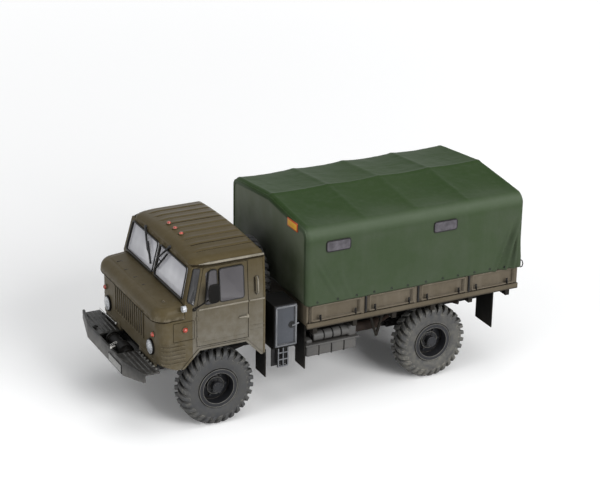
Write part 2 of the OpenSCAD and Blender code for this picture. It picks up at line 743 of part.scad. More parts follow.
// Tyre: a rounded carcass with slanting lugs on each half of the tread
bead_fit = 0.2;
bead_w = 2 * barrel_y - bead_fit;
side_r_share = 0.55;
tread_share = 0.8;
lug_w_share = 0.5;
lug_slant_share = 0.55;
lug_mid_gap = 0.25;
shoulder_share = 0.62;
carcass_r = tyre_r - lug_h;
module tyre() {
    bead_r = rim_r + tyre_fit;
    widest_r = bead_r + (carcass_r - bead_r) * side_r_share;
    half_w = tyre_w / 2;
    rotate([-90, 0, 0]) rotate_extrude($fn = 72)
        rounded_polygon([[bead_r, -bead_w / 2], [bead_r + flange_h + tyre_fit, -bead_w / 2],
            [widest_r, -half_w],
            [carcass_r, -half_w * tread_share], [carcass_r, half_w * tread_share], [widest_r, half_w],
            [bead_r + flange_h + tyre_fit, bead_w / 2], [bead_r, bead_w / 2]],
            [0, 0, flange_h, lug_h, lug_h, flange_h, 0, 0]);
    lugs();
}

// The lug band is a turned ring, and slanting bars cut it into lugs
module lugs() {
    half_w = tyre_w / 2;
    pitch = 360 / lug_count;
    run = tyre_r * pitch * PI / 180;
    bar_w = run * lug_w_share;
    slant = run * lug_slant_share;
    intersection() {
        rotate([-90, 0, 0]) rotate_extrude($fn = 72)
            polygon([[carcass_r - lug_h, -half_w * tread_share], [tyre_r - lug_h * 2, -half_w],
                [tyre_r - lug_h, -half_w],
                [tyre_r, -half_w * tread_share], [tyre_r, half_w * tread_share], [tyre_r - lug_h, half_w],
                [tyre_r - lug_h * 2, half_w], [carcass_r - lug_h, half_w * tread_share]]);
        union() for (i = [0 : lug_count - 1], s = [-1, 1])
            rotate([0, i * pitch + (s > 0 ? 0 : pitch / 2), 0])
                translate([0, 0,
                    -tyre_r - overrun]) linear_extrude(tyre_r - carcass_r + 3 * lug_h + overrun)
                    polygon([[-bar_w / 2, s * lug_mid_gap], [bar_w / 2, s * lug_mid_gap],
                        [bar_w / 2 + slant, s * (half_w + overrun)],
                            [-bar_w / 2 + slant, s * (half_w + overrun)]]);
    }
}

// Mudflaps: behind the front wheels, ahead of the tanks and behind the rear wheels
flap_t = 0.5;
flap_shares = [0.712, 0.993];
flap_table = [ // behind the front axle, inner y, outer y, low z, top z
    [cab_back_behind, cab_side_y(flap_shares[0]), cab_side_y(flap_shares[1]), 15.8, skirt_z + cab_wall],
    [36.2, 22, 30, 15.8, bed_under_z],
    [120.4, 19, 31, 17.4, bed_under_z]];
module mudflaps() color(chassis_black)
    both_sides() for (f = flap_table)
        block([front_axle_x - f[0] - flap_t, f[1], f[3]], [front_axle_x - f[0], f[2], f[4]]);

// Cab outlines: the plan, the front view taken in by d, and the line of the windscreen
cab_corner_r = 5;
cab_back_r = 1.2;
belt_share = 0.451;
lid_top_share = 0.486;
nose_r_share = 0.67;
screen_low_nose_share = 0.538;
screen_top_nose_share = 0.407;
side_front_share = 0.419;
lid_gap = 0.1;
roof_taper = 1.4;
roof_rise_share = 0.375;
front_low_z = 29.4;
nose_under_l = 6.7;
panel_back = 1.6;
panel_x = cab_front_x - panel_back;
arch_ahead = [-17.3, -11, 7.8, 14.3];
belt_z = cab_z(belt_share);
lid_seam_z = cab_z(lid_seam_share);
lid_top_z = cab_z(lid_top_share);
screen_low_z = cab_z(screen_low_share);
roof_seam_z = cab_z(roof_seam_share);
screen_low_x = nose_x(screen_low_nose_share);
screen_top_x = nose_x(screen_top_nose_share);
side_front_x = nose_x(side_front_share);
side_back_x = cab_back_x + cab_wall;
nose_r = nose_r_share * (lid_top_z - lid_seam_z);
roof_rise = roof_rise_share * (roof_top_z - roof_seam_z);
roof_edge_z = roof_top_z - roof_rise;
eave_y = cab_y - roof_taper;

module cab_plan_outline(d, front_x)
    rounded_polygon([[cab_back_x + d, -cab_y + d], [front_x - d, -cab_y + d],
        [front_x - d, cab_y - d], [cab_back_x + d, cab_y - d]],
        [cab_back_r, cab_corner_r - d, cab_corner_r - d, cab_back_r]);
module cab_front_outline(d)
    polygon([[-cab_y + d, 0], [cab_y - d, 0], [cab_y - d, belt_z], [eave_y - d, roof_edge_z],
        [-eave_y + d, roof_edge_z], [-cab_y + d, belt_z]]);

// The left wall as a strip seen from the front, from d_out to d_in inside the outer face
module wall_strip(d_out, d_in)
    polygon([[cab_y - d_in, 0], [cab_y - d_out, 0], [cab_y - d_out, belt_z], [eave_y - d_out, roof_edge_z],
        [eave_y - d_in, roof_edge_z], [cab_y - d_in, belt_z]]);

// The windscreen wall as a strip seen from the side
function screen_x(z) = screen_low_x
    + (screen_top_x - screen_low_x) * (z - screen_low_z) / (roof_seam_z - screen_low_z);
module screen_strip(d_out, d_in)
    polygon([[screen_low_x - d_in, lid_seam_z - cab_wall], [screen_low_x - d_out, lid_seam_z - cab_wall],
        [screen_low_x - d_out, screen_low_z], [screen_top_x - d_out, roof_seam_z],
            [screen_top_x - d_in, roof_seam_z],
        [screen_low_x - d_in, screen_low_z]]);

// Outline of the cab's side below the roof, behind the windscreen wall, and the wheel arch cut from it
function side_outline() = [
    [side_back_x, skirt_z], [side_front_x, skirt_z], [side_front_x, screen_low_z],
    [screen_x(screen_low_z) - cab_wall, screen_low_z], [screen_top_x - cab_wall, roof_seam_z],
    [side_back_x, roof_seam_z]];
arch_lip_w = 0.8;
arch_lip_out = 0.4;
arch_grow_shares = [1.4, 0.45];
module arch_outline(w) {
    x = [for (a = arch_ahead) front_axle_x + a];
    d = w * arch_grow_shares;
    polygon([[x[0] - d[0], 0], [x[0] - d[0], skirt_z], [x[1] - d[1], arch_top_z + w],
        [x[2] + d[1], arch_top_z + w], [x[3] + d[0], skirt_z], [x[3] + d[0], 0]]);
}
module wheel_arch() across(2 * cab_w) arch_outline(0);
module arch_lip(back_x, front_x) intersection() {
    between_y(cab_y - cab_wall / 2, cab_y + arch_lip_out) difference() {
        arch_outline(arch_lip_w);
        arch_outline(0);
    }
    block([back_x, 0, skirt_z], [front_x, cab_w, belt_z]);
}

// Cab panels, split where the real panels meet
door_behind = 12.3;
door_front_shares = [0.356, 0.229];
door_lift = 0.1;
door_top_share = 0.891;
window_behind = 10.2;
window_front_share = 0.19;
window_shares = [0.497, 0.84];
window_r_share = 0.1;
divider_w = 0.7;
door_back_x = front_axle_x - door_behind;
door_low_z = cab_floor_z + door_lift;
door_top_z = cab_z(door_top_share);
window_z = [for (q = window_shares) cab_z(q)];
window_r = window_r_share * (window_z[1] - window_z[0]);
function door_outline(d) = [
    [door_back_x + d, door_low_z + d], [nose_x(door_front_shares[0]) - d, door_low_z + d],
    [nose_x(door_front_shares[0]) - d, belt_z], [nose_x(door_front_shares[1]) - d, door_top_z - d],
    [door_back_x + d, door_top_z - d]];

// Narrow fixed light between windscreen post and door
corner_light_shares = [0.537, 0.869];
corner_edge_shares = [0.26, 0.2];
function door_front_x(z) = nose_x(door_front_shares[0]) + (nose_x(door_front_shares[1])
    - nose_x(door_front_shares[0])) * (z - belt_z) / (door_top_z - belt_z);
function corner_light_x(z, share) = door_front_x(z) + share * (screen_x(z) - cab_wall - door_front_x(z));
module corner_light(d) {
    z = [cab_z(corner_light_shares[0]) + d, cab_z(corner_light_shares[1]) - d];
    share = [corner_edge_shares[0], 1 - corner_edge_shares[1]];
    polygon([[corner_light_x(z[0], share[0]) + d, z[0]], [corner_light_x(z[0], share[1]) - d, z[0]],
        [corner_light_x(z[1], share[1]) - d, z[1]], [corner_light_x(z[1], share[0]) + d, z[1]]]);
}
module cab_side()
    difference() {
        intersection() {
            along(side_back_x, screen_low_x) wall_strip(0, cab_wall);
            between_y(0, cab_w) polygon(side_outline());
        }
        wheel_arch();
        between_y(0, cab_w) polygon(door_outline(0));
        between_y(0, cab_w) corner_light(0);
    }
module cab_side_left() color(olive) { cab_side(); grab_handle(); arch_lip(side_back_x, side_front_x); }
module cab_side_right() color(olive) mirror([0, 1, 0]) {
    cab_side();
    grab_handle();
    arch_lip(side_back_x, side_front_x);
}

// Grab handle on the pillar behind the door
grab_inset = 4.2;
grab_shares = [0.526, 0.691];
grab_out = 0.9;
grab_r = 0.3;
module grab_handle() {
    at = [for (q = grab_shares) [cab_back_x + grab_inset,
        cab_y - roof_taper * (cab_z(q) - belt_z) / (roof_edge_z - belt_z), cab_z(q)]];
    for (q = at) bar(q - [0, cab_wall / 2, 0], q + [0, grab_out, 0], grab_r);
    bar(at[0] + [0, grab_out, -grab_r], at[1] + [0, grab_out, grab_r], grab_r);
}

back_foot_share = 0.66;
back_window_share = 0.5;
back_window_shares = [0.509, 0.794];
floor_t = 1;
back_foot_y = cab_side_y(back_foot_share);
back_window_y = cab_side_y(back_window_share);
back_window_z = [for (q = back_window_shares) cab_z(q)];
module back_window(d)
    rounded_rect([-back_window_y + d, back_window_z[0] + d], [back_window_y - d, back_window_z[1] - d],
        window_r);
module cab_back() color(olive)
    difference() {
        along(cab_back_x, side_back_x) intersection() {
            cab_front_outline(0);
            translate([-cab_w, skirt_z]) square([2 * cab_w, roof_seam_z - skirt_z]);
        }
        along(cab_back_x - overrun, side_back_x + overrun) back_window(0);
        block([cab_back_x - overrun, -back_foot_y, 0], [side_back_x + overrun, back_foot_y,
            cab_floor_z - floor_t]);
    }

// Roof: a shallow tray with a rounded front edge, long ribs and a drip rail
roof_rib_count = 9;
roof_rib_w = 0.8;
roof_rib_h = 0.3;
roof_rib_pitch_share = 0.179;
roof_rib_pitch = cab_side_y(roof_rib_pitch_share);
roof_rib_share = 0.84;
roof_r_share = 0.75;
roof_front_x = screen_top_x;
roof_r = roof_r_share * (roof_top_z - roof_seam_z);
module roof_side_outline()
    rounded_polygon([[cab_back_x, roof_seam_z], [roof_front_x, roof_seam_z], [roof_front_x, roof_top_z],
        [cab_back_x, roof_top_z]], [0, 0, roof_r, roof_r]);
crown_r = (eave_y * eave_y + roof_rise * roof_rise) / (2 * roof_rise);
module roof_front_outline()
    intersection() {
        rounded_polygon([[-eave_y, roof_seam_z - overrun], [eave_y, roof_seam_z - overrun],
            [eave_y, roof_edge_z],
            [0, roof_top_z + roof_rise], [-eave_y, roof_edge_z]], [0, 0, roof_r, 0, roof_r]);
        translate([0, roof_top_z - crown_r]) circle(crown_r, $fn = 360);
    }
module cab_roof() color(olive) {
    difference() {
        intersection() {
            across(cab_w) roof_side_outline();
            along(cab_back_x - overrun, cab_front_x) roof_front_outline();
        }
        block([cab_back_x + cab_wall, -eave_y + cab_wall, roof_seam_z - overrun],
            [roof_front_x - cab_wall, eave_y - cab_wall, roof_edge_z - cab_wall]);
    }
    intersection() {
        along(cab_back_x + roof_r, cab_back_x + roof_r + roof_rib_share * (roof_front_x - cab_back_x))
            translate([0, roof_rib_h]) roof_front_outline();
        union() for (i = [0 : roof_rib_count - 1])
            translate([cab_back_x, (i - (roof_rib_count - 1) / 2) * roof_rib_pitch - roof_rib_w / 2,
                roof_edge_z - cab_wall / 2]) cube([cab_l, roof_rib_w, roof_rise + cab_wall]);
    }
}

// Front: the lower panel with its rounded corners, the wall under the windscreen and the windscreen frame
pane_y_shares = [0.03, 0.868, 0.901];
pane_z_shares = [0.549, 0.88];
pane_y = [for (q = pane_y_shares) cab_side_y(q)];
pane_z = [for (q = pane_z_shares) cab_z(q)];
module pane(d)
    rounded_polygon([[pane_y[0] + d, pane_z[0] + d], [pane_y[2] - d, pane_z[0] + d],
        [pane_y[1] - d, pane_z[1] - d], [pane_y[0] + d, pane_z[1] - d]],
        [window_r, window_r, window_r, window_r] / 2);
module both_panes(d) {
    pane(d);
    mirror([1, 0]) pane(d);
}
module front_lower_outline()
    polygon([[side_front_x, skirt_z], [panel_x - nose_under_l, skirt_z],
        [panel_x + overrun, front_low_z],
        [panel_x + overrun, lid_seam_z - lid_gap], [screen_low_x, lid_seam_z - lid_gap],
        [screen_low_x, screen_low_z], [side_front_x, screen_low_z]]);
module cab_front() color(olive)
    difference() {
        union() {
            intersection() {
                linear_extrude(screen_low_z + overrun) difference() {
                    cab_plan_outline(0, panel_x);
                    cab_plan_outline(cab_wall, panel_x);
                }
                across(cab_w + overrun) front_lower_outline();
            }
            intersection() {
                across(cab_w + overrun) screen_strip(0, cab_wall);
                along(side_front_x - cab_l, cab_front_x) cab_front_outline(0);
            }
            louvres();
            both_sides() arch_lip(side_front_x, cab_front_x);
        }
        wheel_arch();
        along(side_front_x - cab_l, cab_front_x + overrun) both_panes(0);
        along(screen_low_x + overrun, cab_front_x + overrun) grille_outline(0);
        for (y = [-lamp_y, lamp_y])
            pin_x([0, y, lamp_z], screen_low_x + overrun, cab_front_x + overrun, lamp_body_r + glass_gap);
    }

// Louvres around the lower front corners
louvre_count = 5;
louvre_z = 30.4;
louvre_pitch = 1.6;
louvre_h = 0.6;
louvre_out = 0.3;
louvre_back = [7.7, 1.5];
module louvres()
    for (i = [0 : louvre_count - 1], s = [-1, 1])
        intersection() {
            translate([0, 0, louvre_z + i * louvre_pitch]) linear_extrude(louvre_h) difference() {
                cab_plan_outline(-louvre_out, panel_x);
                cab_plan_outline(cab_wall / 2, panel_x);
            }
            block([panel_x - louvre_back[0], s > 0 ? lamp_y : -cab_w, 0],
                [panel_x - louvre_back[1], s > 0 ? cab_w : -lamp_y, lid_seam_z]);
        }

// Lid over the nose, from the seam above the grille to the foot of the windscreen
lid_t = 1.6;
lid_rim = 1.4;
module front_lid() color(olive)
    difference() {
        intersection() {
            across(cab_w + overrun) rounded_polygon([[screen_low_x + lid_gap, lid_seam_z],
                [cab_front_x, lid_seam_z],
                [cab_front_x, lid_top_z], [screen_low_x + lid_gap, screen_low_z]], [0, 0, nose_r, 0]);
            linear_extrude(roof_top_z) cab_plan_outline(0, cab_front_x);
        }
        block([screen_low_x + lid_gap + lid_rim, -cab_y + cab_corner_r, lid_seam_z - overrun],
            [cab_front_x - cab_corner_r, cab_y - cab_corner_r, lid_top_z - lid_t]);
    }

// Grille: a framed panel of upright slots in the front panel
grille_y_share = 0.397;
grille_z_shares = [0.011, 0.326];
grille_y = cab_side_y(grille_y_share);
grille_z = [for (q = grille_z_shares) cab_z(q)];
grille_slots = 11;
grille_slot_share = 0.5;
grille_frame = 0.6;
module grille_outline(d)
    rounded_rect([-grille_y + d, grille_z[0] + d], [grille_y - d, grille_z[1] - d], grille_frame);
module grille() color(olive)
    along(panel_x - cab_wall, panel_x) difference() {
        grille_outline(0);
        pitch = 2 * (grille_y - grille_frame) / grille_slots;
        for (i = [0 : grille_slots - 1])
            translate([-grille_y + grille_frame + (i + mid_share - grille_slot_share / 2) * pitch,
                grille_z[0] + grille_frame])
                square([pitch * grille_slot_share, grille_z[1] - grille_z[0] - 2 * grille_frame]);
    }

// Doors: the cab wall inside the door outline, with the window cut and a handle
handle_l = 2.4;
handle_t = 0.5;
handle_out = 0.7;
handle_share = 0.269;
handle_z = cab_z(handle_share);
module door_shape()
    difference() {
        union() {
            intersection() {
                along(side_back_x, screen_low_x) wall_strip(0, cab_wall);
                between_y(0, cab_w) polygon(door_outline(door_gap));
            }
            block([door_back_x + handle_t * 2, cab_y - cab_wall / 2, handle_z - handle_t / 2],
                [door_back_x + handle_t * 2 + handle_l, cab_y + handle_out, handle_z + handle_t / 2]);
        }
        between_y(0, cab_w) side_windows(0);
    }
module side_windows(d) {
    rounded_rect([front_axle_x - window_behind + d, window_z[0] + d],
        [front_axle_x - divider_w / 2 - d, window_z[1] - d], window_r);
    rounded_rect([front_axle_x + divider_w / 2 + d, window_z[0] + d],
        [nose_x(window_front_share) - d, window_z[1] - d], window_r);
}
module door_left() color(olive) door_shape();
module door_right() color(olive) mirror([0, 1, 0]) door_shape();

// Glazing: clear panes set in the middle of the wall
glass_in = 0.3;
glass_t = 0.4;
glass_gap = 0.02;
module cab_glass() color(clear) {
    intersection() {
        across(cab_w) screen_strip(glass_in, glass_in + glass_t);
        along(side_front_x - cab_l, cab_front_x) both_panes(glass_gap);
    }
    both_sides() intersection() {
        along(side_back_x, screen_low_x) wall_strip(glass_in, glass_in + glass_t);
        between_y(0, cab_w) {
            side_windows(glass_gap);
            corner_light(glass_gap);
        }
    }
    along(cab_back_x + glass_in, cab_back_x + glass_in + glass_t) back_window(glass_gap);
}

// Cab floor with the engine well, and the mounts that carry the cab on the frame
well_behind = 10;
well_front_share = 0.672;
well_y = 7.4;
mount_r = 1;
mount_behind = 16;
mount_front_share = 0.75;
module cab_floor() color(olive) {
    difference() {
        linear_extrude(cab_floor_z)
            cab_plan_outline(cab_wall, panel_x);
        translate([0, 0, -overrun]) linear_extrude(cab_floor_z - floor_t + overrun)
            cab_plan_outline(-overrun, panel_x);
        block([front_axle_x - well_behind, -well_y, 0], [nose_x(well_front_share), well_y,
            cab_floor_z + overrun]);
    }
    for (x = [front_axle_x - mount_behind, nose_x(mount_front_share)]) both_sides()
        translate([x, rail_mid_y, frame_top_z]) cylinder(h = cab_floor_z - floor_t - frame_top_z,
            r = mount_r);
}

// Engine cover between the seats
cover_t = 0.8;
cover_behind = 11.4;
cover_front_share = 0.727;
cover_y = 8.6;
cover_top_share = 0.32;
cover_r = 2;
module engine_cover() color(olive)
    difference() {
        cover_box(0);
        cover_box(cover_t);
    }
module cover_box(d)
    along(front_axle_x - cover_behind + d, nose_x(cover_front_share) - d) {
        z = [cab_floor_z - (d > 0 ? overrun : 0), cab_z(cover_top_share) - d];
        rounded_polygon([[-cover_y + d, z[0]], [cover_y - d, z[0]], [cover_y - d, z[1]],
            [-cover_y + d, z[1]]],
            [0, 0, cover_r, cover_r]);
    }

// Seats: a base and a cushion each, with a sloping backrest
seat_y_shares = [0.397, 0.861];
seat_behind = 12;
seat_l = 13;
seat_z_shares = [0.086, 0.171, 0.571];
seat_back_t = 2.4;
seat_lean = 2.2;
seat_r = 1;
module seats() color(seat_brown)
    both_sides() between_y(cab_side_y(seat_y_shares[0]), cab_side_y(seat_y_shares[1])) {
        x = front_axle_x - seat_behind;
        z = [for (q = seat_z_shares) cab_z(q)];
        rounded_rect([x, cab_floor_z], [x + seat_l, z[1]], seat_r);
        rounded_polygon([[x, z[0]], [x + seat_back_t, z[0]], [x + seat_back_t - seat_lean, z[2]],
            [x - seat_lean, z[2]]],
            [seat_r, seat_r, seat_r, seat_r]);
    }

// Dashboard under the windscreen, with the steering column and wheel on the left
dash_t = 3;
dash_shares = [0.326, 0.469];
dash_r = 0.8;
dash_z = [for (q = dash_shares) cab_z(q)];
steer_wheel_y_share = 0.629;
steer_wheel_y = cab_side_y(steer_wheel_y_share);
steer_wheel_r = 5.6;
steer_wheel_t = 0.5;
steer_wheel_nose_share = 0.213;
steer_wheel_z_share = 0.377;
column_r = 0.6;
column_nose_share = 0.458;
module dashboard() color(olive) {
    between_y(-cab_y + cab_wall + seat_gap, cab_y - cab_wall - seat_gap)
        rounded_rect([screen_low_x - cab_wall - dash_t - dash_r, dash_z[0]],
            [screen_low_x - cab_wall - dash_r, dash_z[1]], dash_r);
    low = [nose_x(column_nose_share), steer_wheel_y, cab_floor_z + column_r / 2];
    high = [nose_x(steer_wheel_nose_share), steer_wheel_y, cab_z(steer_wheel_z_share)];
    bar(low, high, column_r);
    d = high - low;
    translate(high) rotate([0, acos(d.z / norm(d)), atan2(d.y, d.x)]) {
        rotate_extrude() translate([steer_wheel_r, 0]) circle(steer_wheel_t);
        for (a = [0, 120, 240])
            rotate([0, 0, a]) translate([0, -steer_wheel_t, -steer_wheel_t / 2])
                cube([steer_wheel_r, 2 * steer_wheel_t, steer_wheel_t]);
    }
}

// Lamps
lamp_y_share = 0.7185;
lamp_y = cab_side_y(lamp_y_share);
lamp_z = 34.1;
lamp_body_r = 2.7;
lamp_body_l = 1.8;
lamp_out = 0.9;
lamp_lens_r = 2.2;
lamp_lens_rise = 0.5;
bezel_r = 3.1;
bezel_t = 0.7;
module lamp_bezels() color(chassis_black)
    for (y = [-lamp_y, lamp_y]) difference() {
        pin_x([0, y, lamp_z], panel_x, panel_x + bezel_t, bezel_r);
        pin_x([0, y, lamp_z], panel_x - overrun, panel_x + bezel_t + overrun,
            lamp_body_r + glass_gap);
    }
module headlamps() color(silver) {
    searchlight();
    for (y = [-lamp_y, lamp_y]) {
        front_x = panel_x + lamp_out;
        pin_x([0, y, lamp_z], front_x - lamp_body_l, front_x, lamp_body_r);
        lens_r = (lamp_lens_r * lamp_lens_r + lamp_lens_rise * lamp_lens_rise) / (2 * lamp_lens_rise);
        translate([front_x, y, lamp_z]) rotate([0, 90, 0]) rotate_extrude() intersection() {
            translate([0, lamp_lens_rise - lens_r]) circle(lens_r, $fn = 96);
            translate([0, -lamp_lens_rise]) square([lamp_lens_r, 2 * lens_r]);
        }
    }
}

// Small searchlight on a bracket beside the left foot of the windscreen
search_nose_share = 0.577;
search_r = 1.2;
search_l = 1.4;
search_out = 1.3;
search_lift = 0.3;
search_post_r = 0.35;
module searchlight() {
    at = [nose_x(search_nose_share), cab_y + search_out, lid_top_z + search_lift];
    pin_x(at, at.x - search_l / 2, at.x + search_l / 2, search_r);
    pin_y(at, cab_y, at.y, search_post_r);
}

// Orange marker lamps: two on the front, one on each side and three on the roof
marker_r = 1.1;
marker_h = 1;
marker_y_share = 0.801;
marker_z_share = 0.168;
marker_side_nose_share = 0.5415;
marker_side_z_share = 0.234;
roof_marker_nose_share = 0.047;
roof_marker_r = 0.9;
module dome(r, h) {
    cylinder(h = h / 2, r = r);
    translate([0, 0, h / 2]) intersection() {
        sphere(r = r);
        cylinder(h = r, r = r);
    }
}
module marker_lamps() color(lamp_red) {
    both_sides() translate([panel_x, cab_side_y(marker_y_share), cab_z(marker_z_share)])
        rotate([0, 90, 0]) dome(marker_r, marker_h);
    both_sides() translate([nose_x(marker_side_nose_share), cab_y, cab_z(marker_side_z_share)])
        rotate([-90, 0, 0]) dome(marker_r, marker_h);
    for (i = [-1, 0, 1])
        translate([nose_x(roof_marker_nose_share), i * roof_rib_pitch, roof_top_z + roof_rib_h
            - i * i * roof_rib_pitch * roof_rib_pitch / (2 * crown_r)]) dome(roof_marker_r, marker_h);
}

// Wipers on the upper windscreen frame
wiper_share = 0.67;
wiper_arm_share = 0.45;
wiper_t = 0.4;
wiper_y_share = 0.232;
wiper_y = cab_side_y(wiper_y_share);
wiper_lean = 18;
wiper_l = wiper_share * (roof_seam_z - screen_low_z);
wiper_arm_l = wiper_arm_share * (roof_seam_z - screen_low_z);
module wipers() color(chassis_black)
    for (y = [-wiper_y, wiper_y])
        translate([screen_top_x + wiper_t, y, pane_z[1]])
            rotate([0, -atan2(screen_low_x - screen_top_x, roof_seam_z - screen_low_z),
                0]) rotate([wiper_lean, 0, 0]) {
                block([0, -wiper_t / 2, -wiper_arm_l], [wiper_t, wiper_t / 2, wiper_t]);
                block([0, -wiper_t, -wiper_l], [wiper_t, wiper_t, -wiper_arm_l / 2]);
            }

// Mirrors on arms at the front of the doors
mirror_h = 5;
mirror_w = 3;
mirror_t = 0.8;
mirror_reach = 5.4;
mirror_nose_share = 0.142;
mirror_z_share = 0.663;
mirror_arm_r = 0.3;
mirror_root_share = 0.391;
module mirrors() color(chassis_black)
    both_sides() {
        centre = [nose_x(mirror_nose_share), cab_y + mirror_reach - mirror_w / 2, cab_z(mirror_z_share)];
        along(centre.x - mirror_t, centre.x)
            translate([centre.y, centre.z]) rounded_rect([-mirror_w, -mirror_h] / 2, [mirror_w,
                mirror_h] / 2, mirror_t);
        bar([nose_x(mirror_root_share), cab_y + mirror_arm_r / 2, belt_z], centre, mirror_arm_r);
    }

// Cargo bed floor with sills, cross bearers and side rails
rail_side_t = 1.2;
bearer_w = 1.8;
bearer_count = 6;
sill_w = 2.2;
sill_inset = 3;
module bed_floor() color(bed_olive) {
    bed_y = bed_w / 2;
    block([bed_back_x, -bed_y, bed_under_z], [bed_front_x, bed_y, bed_rail_top_z]);
    both_sides() {
        block([bed_back_x, bed_y - rail_side_t, bed_rail_z], [bed_front_x, bed_y, bed_rail_top_z]);
        block([bed_back_x + sill_inset, rail_mid_y - sill_w / 2, frame_top_z],
            [bed_front_x - sill_inset, rail_mid_y + sill_w / 2, bed_under_z]);
    }
    under_bracket();
    for (i = [0 : bearer_count - 1])
        translate([bed_back_x + sill_inset + i * (bed_l - 2 * sill_inset - bearer_w) / (bearer_count -
            1), 0, 0])
            block([0, -bed_y + rail_side_t, bearer_z], [bearer_w, bed_y - rail_side_t, bed_under_z]);
}

// V-shaped bracket under the left bearer, behind the fuel tank
vee_behind = [69.4, 73.4, 77.2];
vee_y = 20;
vee_low_z = 18.6;
vee_r = 0.55;
module under_bracket() {
    foot = [front_axle_x - vee_behind[1], vee_y, vee_low_z];
    for (b = [vee_behind[0], vee_behind[2]])
        bar(foot, [front_axle_x - b, vee_y, bearer_z + vee_r], vee_r);
    block([front_axle_x - vee_behind[2] - vee_r, vee_y - vee_r, bearer_z],
        [front_axle_x - vee_behind[0] + vee_r, vee_y + vee_r, bed_under_z]);
}

// Side boards: pressed panels between posts, with hooks for the canvas
post_w = 1.4;
post_d = 0.5;
post_inset = 0.2;
board_y = bed_w / 2 - post_d - post_inset;
panel_rim = 1.2;
panel_d = 0.3;
bay_l = (bed_l - post_w) / bay_count;
module board_side() {
    difference() {
        block([bed_back_x + board_t, board_y - board_t, bed_rail_top_z],
            [bed_front_x - board_t, board_y, board_top_z]);
        for (i = [0 : bay_count - 1])
            block([bed_back_x + post_w + i * bay_l + panel_rim, board_y - panel_d,
                bed_rail_top_z + panel_rim],
                [bed_back_x + (i + 1) * bay_l - panel_rim, board_y + overrun, board_top_z - panel_rim]);
    }
    for (i = [0 : bay_count])
        block([max(bed_back_x + board_t, bed_back_x + i * bay_l), board_y - board_t / 2, bed_rail_top_z],
            [min(bed_front_x - board_t, bed_back_x + i * bay_l + post_w), board_y + post_d, board_top_z]);
}
module board_left() color(bed_olive) board_side();
module board_right() color(bed_olive) mirror([0, 1, 0]) board_side();

module end_board(x_low)
    block([x_low, -board_y + seat_gap, bed_rail_top_z], [x_low + board_t, board_y - seat_gap, board_top_z]);
module board_front() color(bed_olive) end_board(bed_front_x - board_t);
module tailgate() color(bed_olive) end_board(bed_back_x);

// Canvas: the cover over sides and top, with an end panel at the front and at the back
canvas_corner_r = 4.5;
canvas_flare = 0.5;
canvas_low_y = board_y + post_d + seat_gap;
canvas_front_x = bed_front_x + canvas_t + seat_gap;
module canvas_outline(d)
    rounded_polygon([[-canvas_low_y - d, canvas_low_z - (d > 0 ? 0 : overrun)],
        [canvas_low_y + d, canvas_low_z - (d > 0 ? 0 : overrun)],
        [canvas_low_y + d - canvas_flare, eave_z - canvas_t + d], [0, ridge_z - canvas_t + d],
        [-canvas_low_y - d + canvas_flare, eave_z - canvas_t + d]],
        [0, 0, canvas_corner_r + d, 0, canvas_corner_r + d]);
canvas_l = canvas_front_x - tail_x;
canvas_bay = canvas_l / bay_count;
sag_r = (canvas_bay * canvas_bay / 4 + canvas_sag * canvas_sag) / (2 * canvas_sag);
// A long flat roller that presses one bay of the roof slope down
module sag_cut(x, side) {
    slope = atan2(canvas_rise, canvas_low_y);
    intersection() {
        translate([x, 0, ridge_z]) rotate([side * -slope, 0, 0]) translate([0, 0, sag_r - canvas_sag])
            rotate([90, 0, 0]) cylinder(h = 4 * bed_w, r = sag_r, center = true, $fn = 180);
        block([x - canvas_bay / 2, side > 0 ? 0 : -bed_w, eave_z],
            [x + canvas_bay / 2, side > 0 ? bed_w : 0, ridge_z + overrun]);
    }
}
// The inside of the cover lies lower along the roof, so that the pressed bays keep their thickness
module canvas_inner_outline()
    intersection() {
        canvas_outline(0);
        translate([0, -canvas_sag]) canvas_outline(0);
    }
module canvas_cover() color(canvas_green)
    difference() {
        along(tail_x, canvas_front_x) canvas_outline(canvas_t);
        along(tail_x - overrun, canvas_front_x + overrun) canvas_inner_outline();
        for (i = [0 : bay_count - 1], s = [-1, 1]) sag_cut(tail_x + (i + mid_share) * canvas_bay, s);
        for (s = [-1, 1], w = canvas_window_shares)
            between_y(s > 0 ? 0 : -bed_w, s > 0 ? bed_w : 0) canvas_window(w, 0);
    }
canvas_window_shares = [0.085, 0.57];
canvas_window_l = 10.6;
canvas_window_h = 4.6;
canvas_window_drop = 5.2;
canvas_window_z = [eave_z - canvas_window_drop - canvas_window_h, eave_z - canvas_window_drop];
window_depth_shares = [0.25, 0.75];
canvas_window_r = 0.7;
module canvas_window(share, d)
    rounded_rect([canvas_front_x - share * canvas_l - canvas_window_l + d, canvas_window_z[0] + d],
        [canvas_front_x - share * canvas_l - d, canvas_window_z[1] - d], canvas_window_r);
module canvas_windows() color(clear)
    intersection() {
        difference() {
            along(tail_x, canvas_front_x) canvas_outline(canvas_t * window_depth_shares[1]);
            along(tail_x - overrun,
                canvas_front_x + overrun) canvas_outline(canvas_t * window_depth_shares[0]);
        }
        union() for (w = canvas_window_shares) across(2 * bed_w) canvas_window(w, glass_gap);
    }
module canvas_front() color(canvas_green)
    along(canvas_front_x - canvas_t, canvas_front_x) canvas_outline_inside();
module canvas_rear() color(canvas_green)
    along(tail_x, tail_x + canvas_t) canvas_outline_inside();
module canvas_outline_inside()
    intersection() {
        canvas_inner_outline();
        translate([-bed_w, canvas_low_z]) square([2 * bed_w, ridge_z]);
    }

